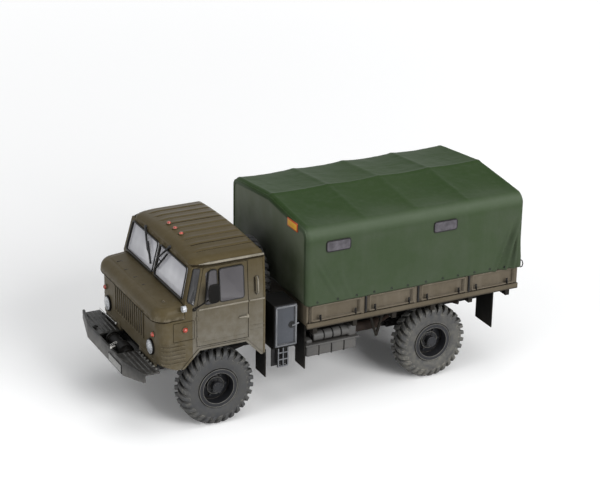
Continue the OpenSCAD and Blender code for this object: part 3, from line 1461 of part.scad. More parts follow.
// Rear lamps under the bed
rear_lamp_y = 24;
rear_lamp_r = 1.5;
rear_lamp_drop = 4.6;
rear_plate = [0.6, 4.4];
module rear_lamps() color(lamp_red)
    both_sides() {
        x = bed_back_x + rear_plate.x;
        block([x, rear_lamp_y - rear_plate.y / 2, bed_under_z - rear_lamp_drop - rear_lamp_r],
            [x + rear_plate.x, rear_lamp_y + rear_plate.y / 2, bed_under_z]);
        pin_x([0, rear_lamp_y, bed_under_z - rear_lamp_drop], bed_back_x, x, rear_lamp_r);
    }

// Blank plates: the number plate on the bumper and the sign on the canvas
plate_y = [4.4, 17.6];
plate_lift = 0.6;
plate_h = 3.2;
plate_z = [bumper_low_z + plate_lift, bumper_low_z + plate_lift + plate_h];
sign_y = [16, 25.2];
sign_drop = 3.4;
sign_h = 3.6;
sign_z = [eave_z - sign_drop, eave_z - sign_drop + sign_h];
module blank_plates() color(silver) {
    block([bumper_face_x, plate_y[0], plate_z[0]], [bumper_x, plate_y[1], plate_z[1]]);
    block([canvas_front_x, sign_y[0], sign_z[0]], [canvas_front_x + plate_t, sign_y[1], sign_z[1]]);
}

// Wheels on their axles
module front_wheel_place(side)
    translate([front_axle_x, 0, axle_z]) mirror([0, side > 0 ? 0 : 1, 0]) translate([0, front_track / 2,
        0]) children();
module rear_wheel_place(side)
    translate([rear_axle_x, 0, axle_z]) mirror([0, side > 0 ? 0 : 1, 0]) translate([0, rear_track / 2,
        0]) children();

chassis_frame();
front_bumper();
tow_hooks();
winch();
front_axle();
rear_axle();
leaf_springs();
engine();
transfer_case();
drive_shafts();
exhaust();
fuel_tanks();
stowage_box();
box_door();
spare_carrier();
color(rim_grey) spare_place() rim();  // spare_rim
color(rubber_grey) spare_place() tyre();  // spare_tyre
mudflaps();
cab_floor();
cab_front();
cab_side_left();
cab_side_right();
cab_back();
cab_roof();
front_lid();
grille();
door_left();
door_right();
cab_glass();
wipers();
mirrors();
lamp_bezels();
headlamps();
marker_lamps();
engine_cover();
seats();
dashboard();
bed_floor();
board_left();
board_right();
board_front();
tailgate();
canvas_cover();
canvas_front();
canvas_rear();
canvas_windows();
rear_lamps();
blank_plates();
knuckle_left();
knuckle_right();
tie_rod();
color(rubber_grey) front_wheel_place(1) tyre();  // tyre_front_left
color(rim_grey) front_wheel_place(1) rim();  // rim_front_left
color(rubber_grey) front_wheel_place(-1) tyre();  // tyre_front_right
color(rim_grey) front_wheel_place(-1) rim();  // rim_front_right
color(rubber_grey) rear_wheel_place(1) tyre();  // tyre_rear_left
color(rim_grey) rear_wheel_place(1) rim();  // rim_rear_left
color(rubber_grey) rear_wheel_place(-1) tyre();  // tyre_rear_right
color(rim_grey) rear_wheel_place(-1) rim();  // rim_rear_right
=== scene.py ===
import math

import bmesh
import bpy
from mathutils import Matrix, Vector, noise


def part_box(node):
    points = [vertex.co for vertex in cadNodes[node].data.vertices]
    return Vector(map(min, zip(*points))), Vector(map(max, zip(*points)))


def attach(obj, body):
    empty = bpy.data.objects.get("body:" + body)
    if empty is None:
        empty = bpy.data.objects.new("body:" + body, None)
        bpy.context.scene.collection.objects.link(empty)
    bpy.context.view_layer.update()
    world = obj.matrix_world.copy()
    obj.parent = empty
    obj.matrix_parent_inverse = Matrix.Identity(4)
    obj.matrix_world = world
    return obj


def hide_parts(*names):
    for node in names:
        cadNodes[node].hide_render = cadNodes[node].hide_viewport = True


mm = 0.001

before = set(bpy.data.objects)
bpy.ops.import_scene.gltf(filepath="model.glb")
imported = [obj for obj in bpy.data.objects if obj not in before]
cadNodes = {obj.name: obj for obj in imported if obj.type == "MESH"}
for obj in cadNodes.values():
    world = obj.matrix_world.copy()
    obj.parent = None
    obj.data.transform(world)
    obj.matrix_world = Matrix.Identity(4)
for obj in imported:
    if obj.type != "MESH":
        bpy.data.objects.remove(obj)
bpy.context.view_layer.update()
print("frame loaded:", len(cadNodes), "nodes")


def nodeMid(node):  # middle of a CAD node, in millimetres
    low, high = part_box(node)
    return [(a + b) / 2 / mm for a, b in zip(low, high)]


# every piece below is drawn in millimetres, with x measured forward from the front axle
frontAxle = nodeMid("tyre_front_left")[0]


def smoothStep(low, high, value):
    t = min(1.0, max(0.0, (value - low) / (high - low)))
    return t * t * (3 - 2 * t)


def freshMaterial(name):
    mat = bpy.data.materials.new(name)
    mat.use_nodes = True
    tree = mat.node_tree
    tree.nodes.clear()
    out = tree.nodes.new("ShaderNodeOutputMaterial")
    shader = tree.nodes.new("ShaderNodeBsdfPrincipled")
    tree.links.new(shader.outputs["BSDF"], out.inputs["Surface"])
    return mat, tree, shader


rising, falling = ((0, 0, 0, 1), (1, 1, 1, 1)), ((1, 1, 1, 1), (0, 0, 0, 1))


def greys(low, high):
    return (low, low, low, 1), (high, high, high, 1)


def ramp(tree, source, low, high, colors=rising):
    node = tree.nodes.new("ShaderNodeValToRGB")
    node.color_ramp.elements[0].position = low
    node.color_ramp.elements[1].position = high
    node.color_ramp.elements[0].color = colors[0]
    node.color_ramp.elements[1].color = colors[1]
    tree.links.new(source, node.inputs["Fac"])
    return node.outputs["Color"]


def blendColor(tree, fac, first, second, mode="MIX"):
    node = tree.nodes.new("ShaderNodeMix")
    node.data_type = "RGBA"
    node.blend_type = mode
    node.clamp_factor = True
    for socket, value in ((node.inputs["Factor"], fac), (node.inputs["A"], first),
                          (node.inputs["B"], second)):
        if isinstance(value, (int, float)):
            socket.default_value = value
        elif isinstance(value, tuple):
            socket.default_value = (*value, 1.0) if len(value) == 3 else value
        else:
            tree.links.new(value, socket)
    return node.outputs["Result"]


def mathNode(tree, kind, first, second=None):
    node = tree.nodes.new("ShaderNodeMath")
    node.operation = kind
    node.use_clamp = kind in ("MULTIPLY", "ADD", "SUBTRACT")
    for index, value in enumerate((first, second)):
        if value is None:
            continue
        if isinstance(value, (int, float)):
            node.inputs[index].default_value = value
        else:
            tree.links.new(value, node.inputs[index])
    return node.outputs["Value"]


# a ramp between two places on an axis, in millimetres; its stops lie between 0 and 1, in decimetres
def axisRamp(tree, socket, low, high, colors=rising):
    return ramp(tree, mathNode(tree, "MULTIPLY", socket, 10.0), low * mm * 10, high * mm * 10, colors)


def objectCoords(tree):
    coords = tree.nodes.new("ShaderNodeTexCoord").outputs["Object"]
    axis = tree.nodes.new("ShaderNodeSeparateXYZ")
    tree.links.new(coords, axis.inputs["Vector"])
    return coords, axis.outputs


def addBump(tree, shader, height, strength, distance, normal=None):
    bump = tree.nodes.new("ShaderNodeBump")
    bump.inputs["Strength"].default_value = strength
    bump.inputs["Distance"].default_value = distance * mm
    tree.links.new(height, bump.inputs["Height"])
    if normal is not None:
        tree.links.new(normal, bump.inputs["Normal"])
    tree.links.new(bump.outputs["Normal"], shader.inputs["Normal"])


def noiseField(tree, coords, scale, detail=4.0, rough=0.55, stretch=(1, 1, 1)):
    mapping = tree.nodes.new("ShaderNodeMapping")
    mapping.inputs["Scale"].default_value = stretch
    tree.links.new(coords, mapping.inputs["Vector"])
    node = tree.nodes.new("ShaderNodeTexNoise")
    node.inputs["Scale"].default_value = scale
    node.inputs["Detail"].default_value = detail
    node.inputs["Roughness"].default_value = rough
    tree.links.new(mapping.outputs["Vector"], node.inputs["Vector"])
    return node.outputs["Fac"]


# brushed model paint: tone drift, a layer that fades with height (dust, and painted sheen on the canvas and
# cab sides and painted shade under the bed), streaks, an optional painted highlight band, dark wash in the
# seams that turns to painted shade where its reach is long, dry-brushed edges, fine grain
def paintMaterial(name, look):
    mat, tree, shader = freshMaterial(name)
    coords, axis = objectCoords(tree)
    drift = noiseField(tree, coords, look.get("driftScale", 55), 3)
    grain = noiseField(tree, coords, look.get("grainScale", 900), 5)
    tone = blendColor(tree, ramp(tree, drift, 0.35, 0.68), look["color"], look["colorB"])
    grainTone = ramp(tree, grain, 0.2, 0.8, greys(0.9, 1.08))
    tone = blendColor(tree, 1.0, tone, grainTone, "MULTIPLY")

    if look.get("streak", 0) > 0:  # faint runs of grime down upright faces
        runs = ramp(tree, noiseField(tree, coords, 330, 3, 0.5, (1, 1, 0.09)), 0.5, 0.72)
        tone = blendColor(tree, mathNode(tree, "MULTIPLY", runs, look["streak"]), tone, look["streakColor"])
    # height layer: dust on most paints; painted sheen on the canvas and cab sides, painted shade on the
    # bed's underside
    if look.get("dustSheenAndShade", 0) > 0:
        height = axisRamp(tree, axis["Z"], look["dustSheenAndShadeLow"], look["dustSheenAndShadeTop"], falling)
        spots = noiseField(tree, coords, look.get("dustSheenAndShadeScale", 260), 8, 0.65)
        speckle = ramp(tree, spots, 0.38, 0.68, greys(look.get("dustSheenAndShadeEven", 0.0), 1))
        dustSheenAndShadeMask = mathNode(tree, "MULTIPLY", mathNode(tree, "MULTIPLY", height, speckle), look["dustSheenAndShade"])
        tone = blendColor(tree, dustSheenAndShadeMask, tone, look["dustSheenAndShadeColor"])

    if "band" in look:  # a painted highlight strip, such as the eave of the canvas where the light catches it
        low, middle, high, amount = look["band"]
        strip = tree.nodes.new("ShaderNodeValToRGB")
        stops = strip.color_ramp.elements
        stops[0].position, stops[1].position = low * mm * 10, high * mm * 10
        stops[0].color = stops[1].color = (0, 0, 0, 1)
        stops.new(middle * mm * 10).color = (amount, amount, amount, 1)
        tree.links.new(mathNode(tree, "MULTIPLY", axis["Z"], 10.0), strip.inputs["Fac"])
        tone = blendColor(tree, strip.outputs["Color"], tone, look["bandColor"])

    # dark wash in the hollows; where the reach is long, as on the canvas front, it is painted shade
    occlusion = tree.nodes.new("ShaderNodeAmbientOcclusion")
    occlusion.samples = 8
    occlusion.inputs["Distance"].default_value = look.get("washAndShadeReach", 1.3) * mm
    washAndShadeMask = ramp(tree, occlusion.outputs["AO"], look.get("washAndShadeLow", 0.45), look.get("washAndShadeHigh", 0.8), falling)
    washAndShadeMask = mathNode(tree, "MULTIPLY", washAndShadeMask, look.get("washAndShade", 0.75))
    tone = blendColor(tree, washAndShadeMask, tone, look.get("washAndShadeColor", (0.012, 0.01, 0.008)))

    bevel = tree.nodes.new("ShaderNodeBevel")
    bevel.samples = 6
    bevel.inputs["Radius"].default_value = look.get("edge", 0.22) * mm
    geometry = tree.nodes.new("ShaderNodeNewGeometry")
    dot = tree.nodes.new("ShaderNodeVectorMath")
    dot.operation = "DOT_PRODUCT"
    tree.links.new(bevel.outputs["Normal"], dot.inputs[0])
    tree.links.new(geometry.outputs["True Normal"], dot.inputs[1])
    rim = ramp(tree, dot.outputs["Value"], 0.86, 0.985, falling)
    chips = ramp(tree, noiseField(tree, coords, 420, 6), 0.4, 0.62)
    worn = mathNode(tree, "MULTIPLY", mathNode(tree, "MULTIPLY", rim, chips), look.get("wear", 0.35))
    tone = blendColor(tree, worn, tone, look.get("wearColor", (0.34, 0.31, 0.25)))
    tree.links.new(tone, shader.inputs["Base Color"])

    gloss = ramp(tree, drift, 0.3, 0.7, greys(look["rough"] - 0.05, look["rough"] + 0.06))
    tree.links.new(gloss, shader.inputs["Roughness"])
    shader.inputs["Specular IOR Level"].default_value = look.get("shine", 0.5)
    addBump(tree, shader, grain, look.get("bump", 0.12), 0.12, bevel.outputs["Normal"])
    return mat


cabLook = {
    "color": (0.063, 0.048, 0.022), "colorB": (0.075, 0.058, 0.028), "driftScale": 38, "rough": 0.33,
    "wear": 0.45, "wearColor": (0.24, 0.21, 0.155), "streak": 0.12, "streakColor": (0.12, 0.102, 0.075),
    "shine": 0.05, "dustSheenAndShade": 0.7, "dustSheenAndShadeLow": 30, "dustSheenAndShadeTop": 58, "dustSheenAndShadeColor": (0.13, 0.116, 0.09),
    "dustSheenAndShadeEven": 0.35}
cabPaint = paintMaterial("cabPaint", cabLook)
# dark paint for seams, and for painted shade: the grooves of the roof, the line under the roof's edge and
# under the lid's lip
seamAndShadePaint = paintMaterial("seamAndShadePaint", {
    "color": (0.017, 0.013, 0.007), "colorB": (0.026, 0.02, 0.011), "rough": 0.5, "wear": 0.0,
    "shine": 0.03})
# cab sides and doors: an even pale layer, partly dust and partly painted light for the brighter sides
sidePaintDustyAndLit = paintMaterial("sidePaintDustyAndLit", {
    **cabLook, "dustSheenAndShade": 0.8, "dustSheenAndShadeTop": 68, "dustSheenAndShadeColor": (0.18, 0.172, 0.154), "dustSheenAndShadeScale": 300,
    "dustSheenAndShadeEven": 0.62})
bedPaint = paintMaterial("bedPaint", {
    "color": (0.083, 0.068, 0.046), "colorB": (0.105, 0.087, 0.062), "rough": 0.48, "wear": 0.5,
    "wearColor": (0.25, 0.215, 0.17), "streak": 0.3, "streakColor": (0.15, 0.128, 0.1), "shine": 0.15,
    "washAndShade": 0.9, "dustSheenAndShade": 0.45, "dustSheenAndShadeLow": 26, "dustSheenAndShadeTop": 50, "dustSheenAndShadeColor": (0.15, 0.128, 0.1)})
# bed floor: the near-black layer below 33.9 mm is painted shade under the bed
bedUnder = paintMaterial("bedUnder", {
    "color": (0.083, 0.068, 0.046), "colorB": (0.105, 0.087, 0.062), "rough": 0.5, "wear": 0.16,
    "wearColor": (0.2, 0.17, 0.13), "shine": 0.1, "washAndShade": 0.9, "dustSheenAndShade": 1.0, "dustSheenAndShadeLow": 33.9, "dustSheenAndShadeTop": 34.6,
    "dustSheenAndShadeColor": (0.009, 0.008, 0.007), "dustSheenAndShadeEven": 0.9})
chassisPaint = paintMaterial("chassisPaint", {
    "color": (0.0062, 0.006, 0.0058), "colorB": (0.0105, 0.0101, 0.0097), "rough": 0.45, "wear": 0.5,
    "wearColor": (0.1, 0.095, 0.088), "shine": 0.07, "dustSheenAndShade": 0.25, "dustSheenAndShadeLow": 8, "dustSheenAndShadeTop": 28,
    "dustSheenAndShadeColor": (0.06, 0.053, 0.043)})
flapPaint = paintMaterial("flapPaint", {
    "color": (0.0062, 0.006, 0.0056), "colorB": (0.0095, 0.009, 0.0084), "rough": 0.55, "wear": 0.9,
    "edge": 0.3, "shine": 0.05, "wearColor": (0.15, 0.138, 0.115), "dustSheenAndShade": 0.5, "dustSheenAndShadeLow": 15, "dustSheenAndShadeTop": 24,
    "dustSheenAndShadeColor": (0.05, 0.045, 0.037), "dustSheenAndShadeEven": 0.2})
bumperPaint = paintMaterial("bumperPaint", {
    "color": (0.012, 0.0116, 0.011), "colorB": (0.024, 0.0232, 0.022), "driftScale": 120, "rough": 0.42,
    "wear": 0.85, "wearColor": (0.2, 0.195, 0.185), "shine": 0.2, "dustSheenAndShade": 0.85, "dustSheenAndShadeLow": 24,
    "dustSheenAndShadeTop": 28.3, "dustSheenAndShadeColor": (0.135, 0.13, 0.121), "dustSheenAndShadeEven": 0.4, "streak": 0.35,
    "streakColor": (0.1, 0.097, 0.09)})
boxPaint = paintMaterial("boxPaint", {
    "color": (0.05, 0.054, 0.063), "colorB": (0.072, 0.077, 0.088), "rough": 0.4, "wear": 0.6,
    "wearColor": (0.26, 0.26, 0.27), "streak": 0.3, "streakColor": (0.03, 0.029, 0.028), "shine": 0.22})
boxEdge = paintMaterial("boxEdge", {
    "color": (0.088, 0.092, 0.1), "colorB": (0.16, 0.165, 0.175), "driftScale": 140, "rough": 0.42,
    "wear": 0.5, "shine": 0.22, "wearColor": (0.36, 0.36, 0.36)})
tankPaint = paintMaterial("tankPaint", {
    "color": (0.055, 0.054, 0.053), "colorB": (0.08, 0.078, 0.075), "rough": 0.5, "wear": 0.6, "shine": 0.25,
    "wearColor": (0.25, 0.24, 0.22), "dustSheenAndShade": 0.3, "dustSheenAndShadeLow": 18, "dustSheenAndShadeTop": 30,
    "dustSheenAndShadeColor": (0.12, 0.105, 0.083)})
rustPaint = paintMaterial("rustPaint", {
    "color": (0.011, 0.0078, 0.0063), "colorB": (0.026, 0.0155, 0.0105), "rough": 0.75, "wear": 0.1,
    "shine": 0.2, "grainScale": 1500, "bump": 0.3})
rimPaint = paintMaterial("rimPaint", {
    "color": (0.014, 0.0145, 0.017), "colorB": (0.022, 0.0225, 0.026), "rough": 0.4, "wear": 0.75,
    "shine": 0.25, "wearColor": (0.16, 0.155, 0.14)})
rimEdge = paintMaterial("rimEdge", {
    "color": (0.075, 0.074, 0.07), "colorB": (0.13, 0.126, 0.112), "driftScale": 160, "rough": 0.42,
    "wear": 0.5, "shine": 0.25, "washAndShade": 0.35, "wearColor": (0.24, 0.23, 0.2)})
tyreLook = {
    "color": (0.042, 0.043, 0.0455), "colorB": (0.058, 0.0585, 0.060), "rough": 0.55, "wear": 0.9,
    "shine": 0.18, "wearColor": (0.19, 0.182, 0.155), "washAndShadeReach": 1.1, "washAndShade": 0.55, "edge": 0.24,
    "dustSheenAndShadeScale": 420, "dustSheenAndShade": 0.4, "dustSheenAndShadeLow": 0, "dustSheenAndShadeTop": 60, "dustSheenAndShadeColor": (0.085, 0.079, 0.063)}
tyreVinyl = paintMaterial("tyreVinyl", tyreLook)
tyreDusty = paintMaterial("tyreDusty", {
    **tyreLook, "color": (0.05, 0.0505, 0.052), "colorB": (0.07, 0.0695, 0.068), "dustSheenAndShade": 0.65,
    "dustSheenAndShadeColor": (0.155, 0.147, 0.122), "wearColor": (0.26, 0.245, 0.205)})
# pale olive: dry-brushed handles, and painted highlights on the belt bead and the roof's lip
wornAndHighlitOlive = paintMaterial("wornAndHighlitOlive", {
    "color": (0.13, 0.115, 0.085), "colorB": (0.2, 0.18, 0.14), "driftScale": 180, "rough": 0.4, "wear": 0.6,
    "shine": 0.3, "wearColor": (0.34, 0.31, 0.25)})
seatPaint = paintMaterial("seatPaint", {
    "color": (0.05, 0.034, 0.022), "colorB": (0.066, 0.046, 0.03), "rough": 0.6, "shine": 0.2})
rubberBlack = paintMaterial("rubberBlack", {
    "color": (0.006, 0.006, 0.0065), "colorB": (0.010, 0.010, 0.010), "rough": 0.42, "wear": 0.25,
    "shine": 0.25, "wearColor": (0.05, 0.05, 0.05), "washAndShade": 0.3})
bareMetal = paintMaterial("bareMetal", {
    "color": (0.34, 0.33, 0.31), "colorB": (0.46, 0.45, 0.43), "rough": 0.28, "wear": 0.3,
    "wearColor": (0.62, 0.62, 0.6)})
platePale = paintMaterial("platePale", {
    "color": (0.5, 0.5, 0.48), "colorB": (0.62, 0.62, 0.6), "rough": 0.4, "wear": 0.2, "washAndShade": 0.1,
    "wearColor": (0.75, 0.75, 0.72)})
platePaint = paintMaterial("platePaint", {
    "color": (0.2, 0.2, 0.2), "colorB": (0.28, 0.28, 0.27), "rough": 0.5, "wear": 0.6,
    "wearColor": (0.06, 0.058, 0.055), "shine": 0.25, "dustSheenAndShade": 0.4, "dustSheenAndShadeLow": 20, "dustSheenAndShadeTop": 32,
    "dustSheenAndShadeColor": (0.09, 0.085, 0.078)})
signYellow = paintMaterial("signYellow", {
    "color": (0.56, 0.30, 0.03), "colorB": (0.62, 0.35, 0.05), "rough": 0.45, "wear": 0.2,
    "wearColor": (0.3, 0.2, 0.08), "shine": 0.2})
signRed = paintMaterial("signRed", {
    "color": (0.40, 0.05, 0.015), "colorB": (0.45, 0.07, 0.025), "rough": 0.45, "wear": 0.2,
    "wearColor": (0.3, 0.2, 0.08), "shine": 0.2})
# canvas: the greyer layer below 68 mm is painted sheen on the sides, and the pale band at the eave is a
# painted highlight
canvasPaint = paintMaterial("canvasPaint", {
    "color": (0.0255, 0.0475, 0.0155), "colorB": (0.0315, 0.0545, 0.0195), "rough": 0.38, "wear": 0.0,
    "shine": 0.02, "driftScale": 22, "grainScale": 1500, "bump": 0.1, "washAndShade": 0.6, "washAndShadeReach": 1.6,
    "streak": 0.12, "streakColor": (0.075, 0.095, 0.065), "dustSheenAndShade": 0.85, "dustSheenAndShadeLow": 68, "dustSheenAndShadeTop": 76,
    "dustSheenAndShadeColor": (0.056, 0.070, 0.048), "dustSheenAndShadeScale": 60, "dustSheenAndShadeEven": 0.55, "band": (69.5, 73.2, 75.2, 0.55),
    "bandColor": (0.1, 0.122, 0.089)})
# front canvas: scuffed tones, a painted highlight towards the top, and painted shade near its rim and bottom
# from the long-reach wash
canvasScuffedLitAndShaded = paintMaterial("canvasScuffedLitAndShaded", {
    "color": (0.047, 0.063, 0.03), "colorB": (0.112, 0.125, 0.092), "rough": 0.45, "wear": 0.0,
    "shine": 0.06, "driftScale": 45, "band": (52, 74, 95, 0.7), "bandColor": (0.105, 0.121, 0.084),
    "grainScale": 1500, "bump": 0.1, "washAndShade": 0.85, "washAndShadeReach": 9.0, "washAndShadeLow": 0.3, "washAndShadeHigh": 0.9,
    "washAndShadeColor": (0.008, 0.011, 0.004), "streak": 0.35, "streakColor": (0.1, 0.105, 0.09)})
windowFrame = paintMaterial("windowFrame", {
    "color": (0.014, 0.013, 0.014), "colorB": (0.026, 0.024, 0.026), "rough": 0.5, "wear": 0.15,
    "shine": 0.1, "wearColor": (0.15, 0.14, 0.15)})


# clear moulding: base colour with a mottle; on the windscreen the pale colour and the darker top edge are a
# painted reflection of the studio
def clearMaterial(name, look):
    mat, tree, shader = freshMaterial(name)
    coords, axis = objectCoords(tree)
    hazeAndReflection = noiseField(tree, coords, look["hazeAndReflectionScale"], 3)
    tone = blendColor(tree, ramp(tree, hazeAndReflection, 0.32, 0.68), look["color"], look["colorB"])
    if "topColor" in look:
        height = axisRamp(tree, axis["Z"], look["topLow"], look["topHigh"])
        tone = blendColor(tree, height, tone, look["topColor"])
    if "sideColor" in look:  # the side lights, behind the windscreen
        behind = axisRamp(tree, axis["X"], look["sideFrom"] - 0.4, look["sideFrom"], falling)
        tone = blendColor(tree, behind, tone, look["sideColor"])
    tree.links.new(tone, shader.inputs["Base Color"])
    tree.links.new(ramp(tree, hazeAndReflection, 0.3, 0.7, greys(look["alpha"], look["alphaB"])), shader.inputs["Alpha"])
    shader.inputs["Roughness"].default_value = look["rough"]
    shader.inputs["Specular IOR Level"].default_value = look.get("shine", 0.6)
    return mat


# windscreen: its pale, mottled base colour and darker top are a painted reflection
cabGlass = clearMaterial("cabGlass", {
    "color": (0.40, 0.40, 0.43), "colorB": (0.66, 0.66, 0.69), "hazeAndReflectionScale": 45, "alpha": 0.9, "alphaB": 0.97,
    "rough": 0.06, "topColor": (0.21, 0.205, 0.235), "topLow": 58.5, "topHigh": 67.5,
    "sideColor": (0.066, 0.062, 0.066), "sideFrom": frontAxle + 9.4})
sideGlass = clearMaterial("sideGlass", {
    "color": (0.052, 0.048, 0.052), "colorB": (0.07, 0.066, 0.071), "hazeAndReflectionScale": 60, "alpha": 0.95,
    "alphaB": 0.98, "rough": 0.08, "shine": 0.35})
darkGlass = clearMaterial("darkGlass", {
    "color": (0.008, 0.008, 0.009), "colorB": (0.03, 0.029, 0.03), "hazeAndReflectionScale": 160, "alpha": 1.0,
    "alphaB": 1.0, "rough": 0.1, "shine": 0.4})
canvasGlass = clearMaterial("canvasGlass", {
    "color": (0.04, 0.036, 0.042), "colorB": (0.085, 0.078, 0.09), "hazeAndReflectionScale": 420, "alpha": 1.0,
    "alphaB": 1.0, "rough": 0.28, "shine": 0.3})


# lamp glass with small moulded prisms
def lampMaterial(name, color, rough):
    mat, tree, shader = freshMaterial(name)
    coords = objectCoords(tree)[0]
    prisms = tree.nodes.new("ShaderNodeTexVoronoi")
    prisms.inputs["Scale"].default_value = 1400
    tree.links.new(coords, prisms.inputs["Vector"])
    shade = tuple(c * 0.6 for c in color)
    tone = blendColor(tree, ramp(tree, prisms.outputs["Distance"], 0.1, 0.6), color, shade)
    tree.links.new(tone, shader.inputs["Base Color"])
    shader.inputs["Roughness"].default_value = rough
    shader.inputs["Coat Weight"].default_value = 0.4
    addBump(tree, shader, prisms.outputs["Distance"], 0.3, 0.2)
    return mat


lampSilver = lampMaterial("lampSilver", (0.55, 0.57, 0.6), 0.15)
lampOrange = lampMaterial("lampOrange", (0.46, 0.04, 0.012), 0.25)

# looks of the nodes that show as they are; the others are replaced below
nodeLooks = [
    (cabPaint, ["cab_floor", "cab_front", "cab_back", "engine_cover", "dashboard"]),
    (sidePaintDustyAndLit, ["cab_side_left", "cab_side_right", "door_left", "door_right"]),
    (bedUnder, ["bed_floor"]),
    (bedPaint, ["board_left", "board_right", "board_front", "tailgate"]),
    (chassisPaint, ["chassis_frame", "tow_hooks", "winch", "front_axle", "rear_axle", "leaf_springs",
                    "engine", "transfer_case", "drive_shafts", "spare_carrier", "knuckle_left",
                    "knuckle_right", "tie_rod", "stowage_box", "lamp_bezels"]),
    (bumperPaint, ["front_bumper"]),
    (flapPaint, ["mudflaps"]),
    (rustPaint, ["exhaust"]),
    (boxPaint, ["box_door"]),
    (rimPaint, ["spare_rim", "rim_front_left", "rim_front_right", "rim_rear_left", "rim_rear_right"]),
    (cabGlass, ["cab_glass"]),
    (lampSilver, ["headlamps"]),
    (seatPaint, ["seats"]),
]
for look, names in nodeLooks:
    for nodeName in names:
        cadNodes[nodeName].data.materials.clear()
        cadNodes[nodeName].data.materials.append(look)

# soft edges on the moulded panels, in millimetres
softEdges = {
    0.28: ["cab_front", "cab_side_left", "cab_side_right", "door_left", "door_right", "cab_back"],
    0.18: ["front_bumper", "stowage_box", "box_door", "mudflaps", "board_left", "board_right", "tailgate",
           "bed_floor", "seats"],
}
for width, names in softEdges.items():
    for nodeName in names:
        node = cadNodes[nodeName]
        weld = node.modifiers.new("weldFacets", "WELD")
        weld.merge_threshold = 0.002 * mm
        soften = node.modifiers.new("softEdge", "BEVEL")
        soften.width = width * mm
        soften.segments = 2
        soften.limit_method = "ANGLE"
        soften.angle_limit = math.radians(40)
        soften.use_clamp_overlap = True
        soften.harden_normals = False
print("finishes assigned")


def newPiece(name, bm, mats, body="truck", stands=(), sharp=38):
    bmesh.ops.translate(bm, vec=(frontAxle, 0, 0), verts=bm.verts)
    bmesh.ops.scale(bm, vec=(mm, mm, mm), verts=bm.verts)
    mesh = bpy.data.meshes.new(name)
    bm.to_mesh(mesh)
    bm.free()
    for mat in mats:
        mesh.materials.append(mat)
    mesh.shade_smooth()
    mesh.set_sharp_from_angle(angle=math.radians(sharp))
    piece = bpy.data.objects.new(name, mesh)
    bpy.context.scene.collection.objects.link(piece)
    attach(piece, body)
    if stands:
        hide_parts(*stands)
    return piece


# joins a small shape, made on its own, into a piece
def joinShape(bm, own, index=None):
    if index is not None:
        for face in own.faces:
            face.material_index = index
    mesh = bpy.data.meshes.new("scrap")
    own.to_mesh(mesh)
    own.free()
    bm.from_mesh(mesh)
    bpy.data.meshes.remove(mesh)


def roundOff(bm, geom, offset, segments, affect="EDGES"):
    bmesh.ops.bevel(bm, geom=geom, offset=offset, offset_type="OFFSET", segments=segments, profile=0.5,
                    affect=affect, clamp_overlap=affect == "EDGES", material=-1)


def sharpEdges(bm, angle):
    return [edge for edge in bm.edges if len(edge.link_faces) == 2 and edge.calc_face_angle(0) > angle]


def faceTowards(bm, direction):  # turns the faces of an open sheet to look one way
    bmesh.ops.recalc_face_normals(bm, faces=bm.faces)
    bm.normal_update()
    if sum(face.normal.dot(direction) for face in bm.faces) < 0:
        bmesh.ops.reverse_faces(bm, faces=bm.faces)
        bm.normal_update()


def aimed(axis):  # a turn that lays the z axis along another one
    return Vector(axis).to_track_quat("Z", "Y").to_matrix().to_4x4()


def panelWall(piece, thickness):
    wall = piece.modifiers.new("panelWall", "SOLIDIFY")
    wall.thickness = thickness * mm
    wall.offset = -1.0


# a block with rounded edges
def softBlock(bm, low, high, radius, index=0, segments=2):
    own = bmesh.new()
    bmesh.ops.create_cube(own, size=1.0)
    bmesh.ops.scale(own, vec=[b - a for a, b in zip(low, high)], verts=own.verts)
    roundOff(own, own.edges[:], radius, segments)
    bmesh.ops.translate(own, vec=[(a + b) / 2 for a, b in zip(low, high)], verts=own.verts)
    joinShape(bm, own, index)


# the same on the left (1) or right (-1), from spans in x, outwards and in z
def sideBlock(bm, side, xs, ys, zs, radius, index=0, segments=2):
    near, far = sorted(side * y for y in ys)
    softBlock(bm, (xs[0], near, zs[0]), (xs[1], far, zs[1]), radius, index, segments)


# a round bar between two points, with its end edges rounded
def roundBar(bm, start, end, radius, index=0, segments=12, radiusEnd=None):
    start, end = Vector(start), Vector(end)
    run = end - start
    own = bmesh.new()
    bmesh.ops.create_cone(own, cap_ends=True, segments=segments, radius1=radius,
                          radius2=radius if radiusEnd is None else radiusEnd, depth=run.length)
    rims = [edge for edge in own.edges if abs(edge.verts[0].co.z - edge.verts[1].co.z) < 1e-6]
    roundOff(own, rims, radius * 0.3, 2)
    bmesh.ops.transform(own, matrix=Matrix.Translation((start + end) / 2) @ aimed(run), verts=own.verts)
    joinShape(bm, own, index)


def barLine(bm, points, radius, index, segments):
    for start, end in zip(points, points[1:]):
        roundBar(bm, start, end, radius, index, segments)


# a turned shape: steps of (radius, height) spun about an axis through a point
def turnedShape(bm, outline, place, axis, index=0, steps=28):
    own = bmesh.new()
    verts = [own.verts.new((radius, 0, height)) for radius, height in outline]
    edges = [own.edges.new(pair) for pair in zip(verts, verts[1:])]
    bmesh.ops.spin(own, geom=verts + edges, axis=(0, 0, 1), cent=(0, 0, 0), angle=math.tau, steps=steps,
                   use_merge=True)
    bmesh.ops.remove_doubles(own, verts=own.verts, dist=0.0005)
    bmesh.ops.recalc_face_normals(own, faces=own.faces)
    bmesh.ops.transform(own, matrix=Matrix.Translation(place) @ aimed(axis), verts=own.verts)
    joinShape(bm, own, index)


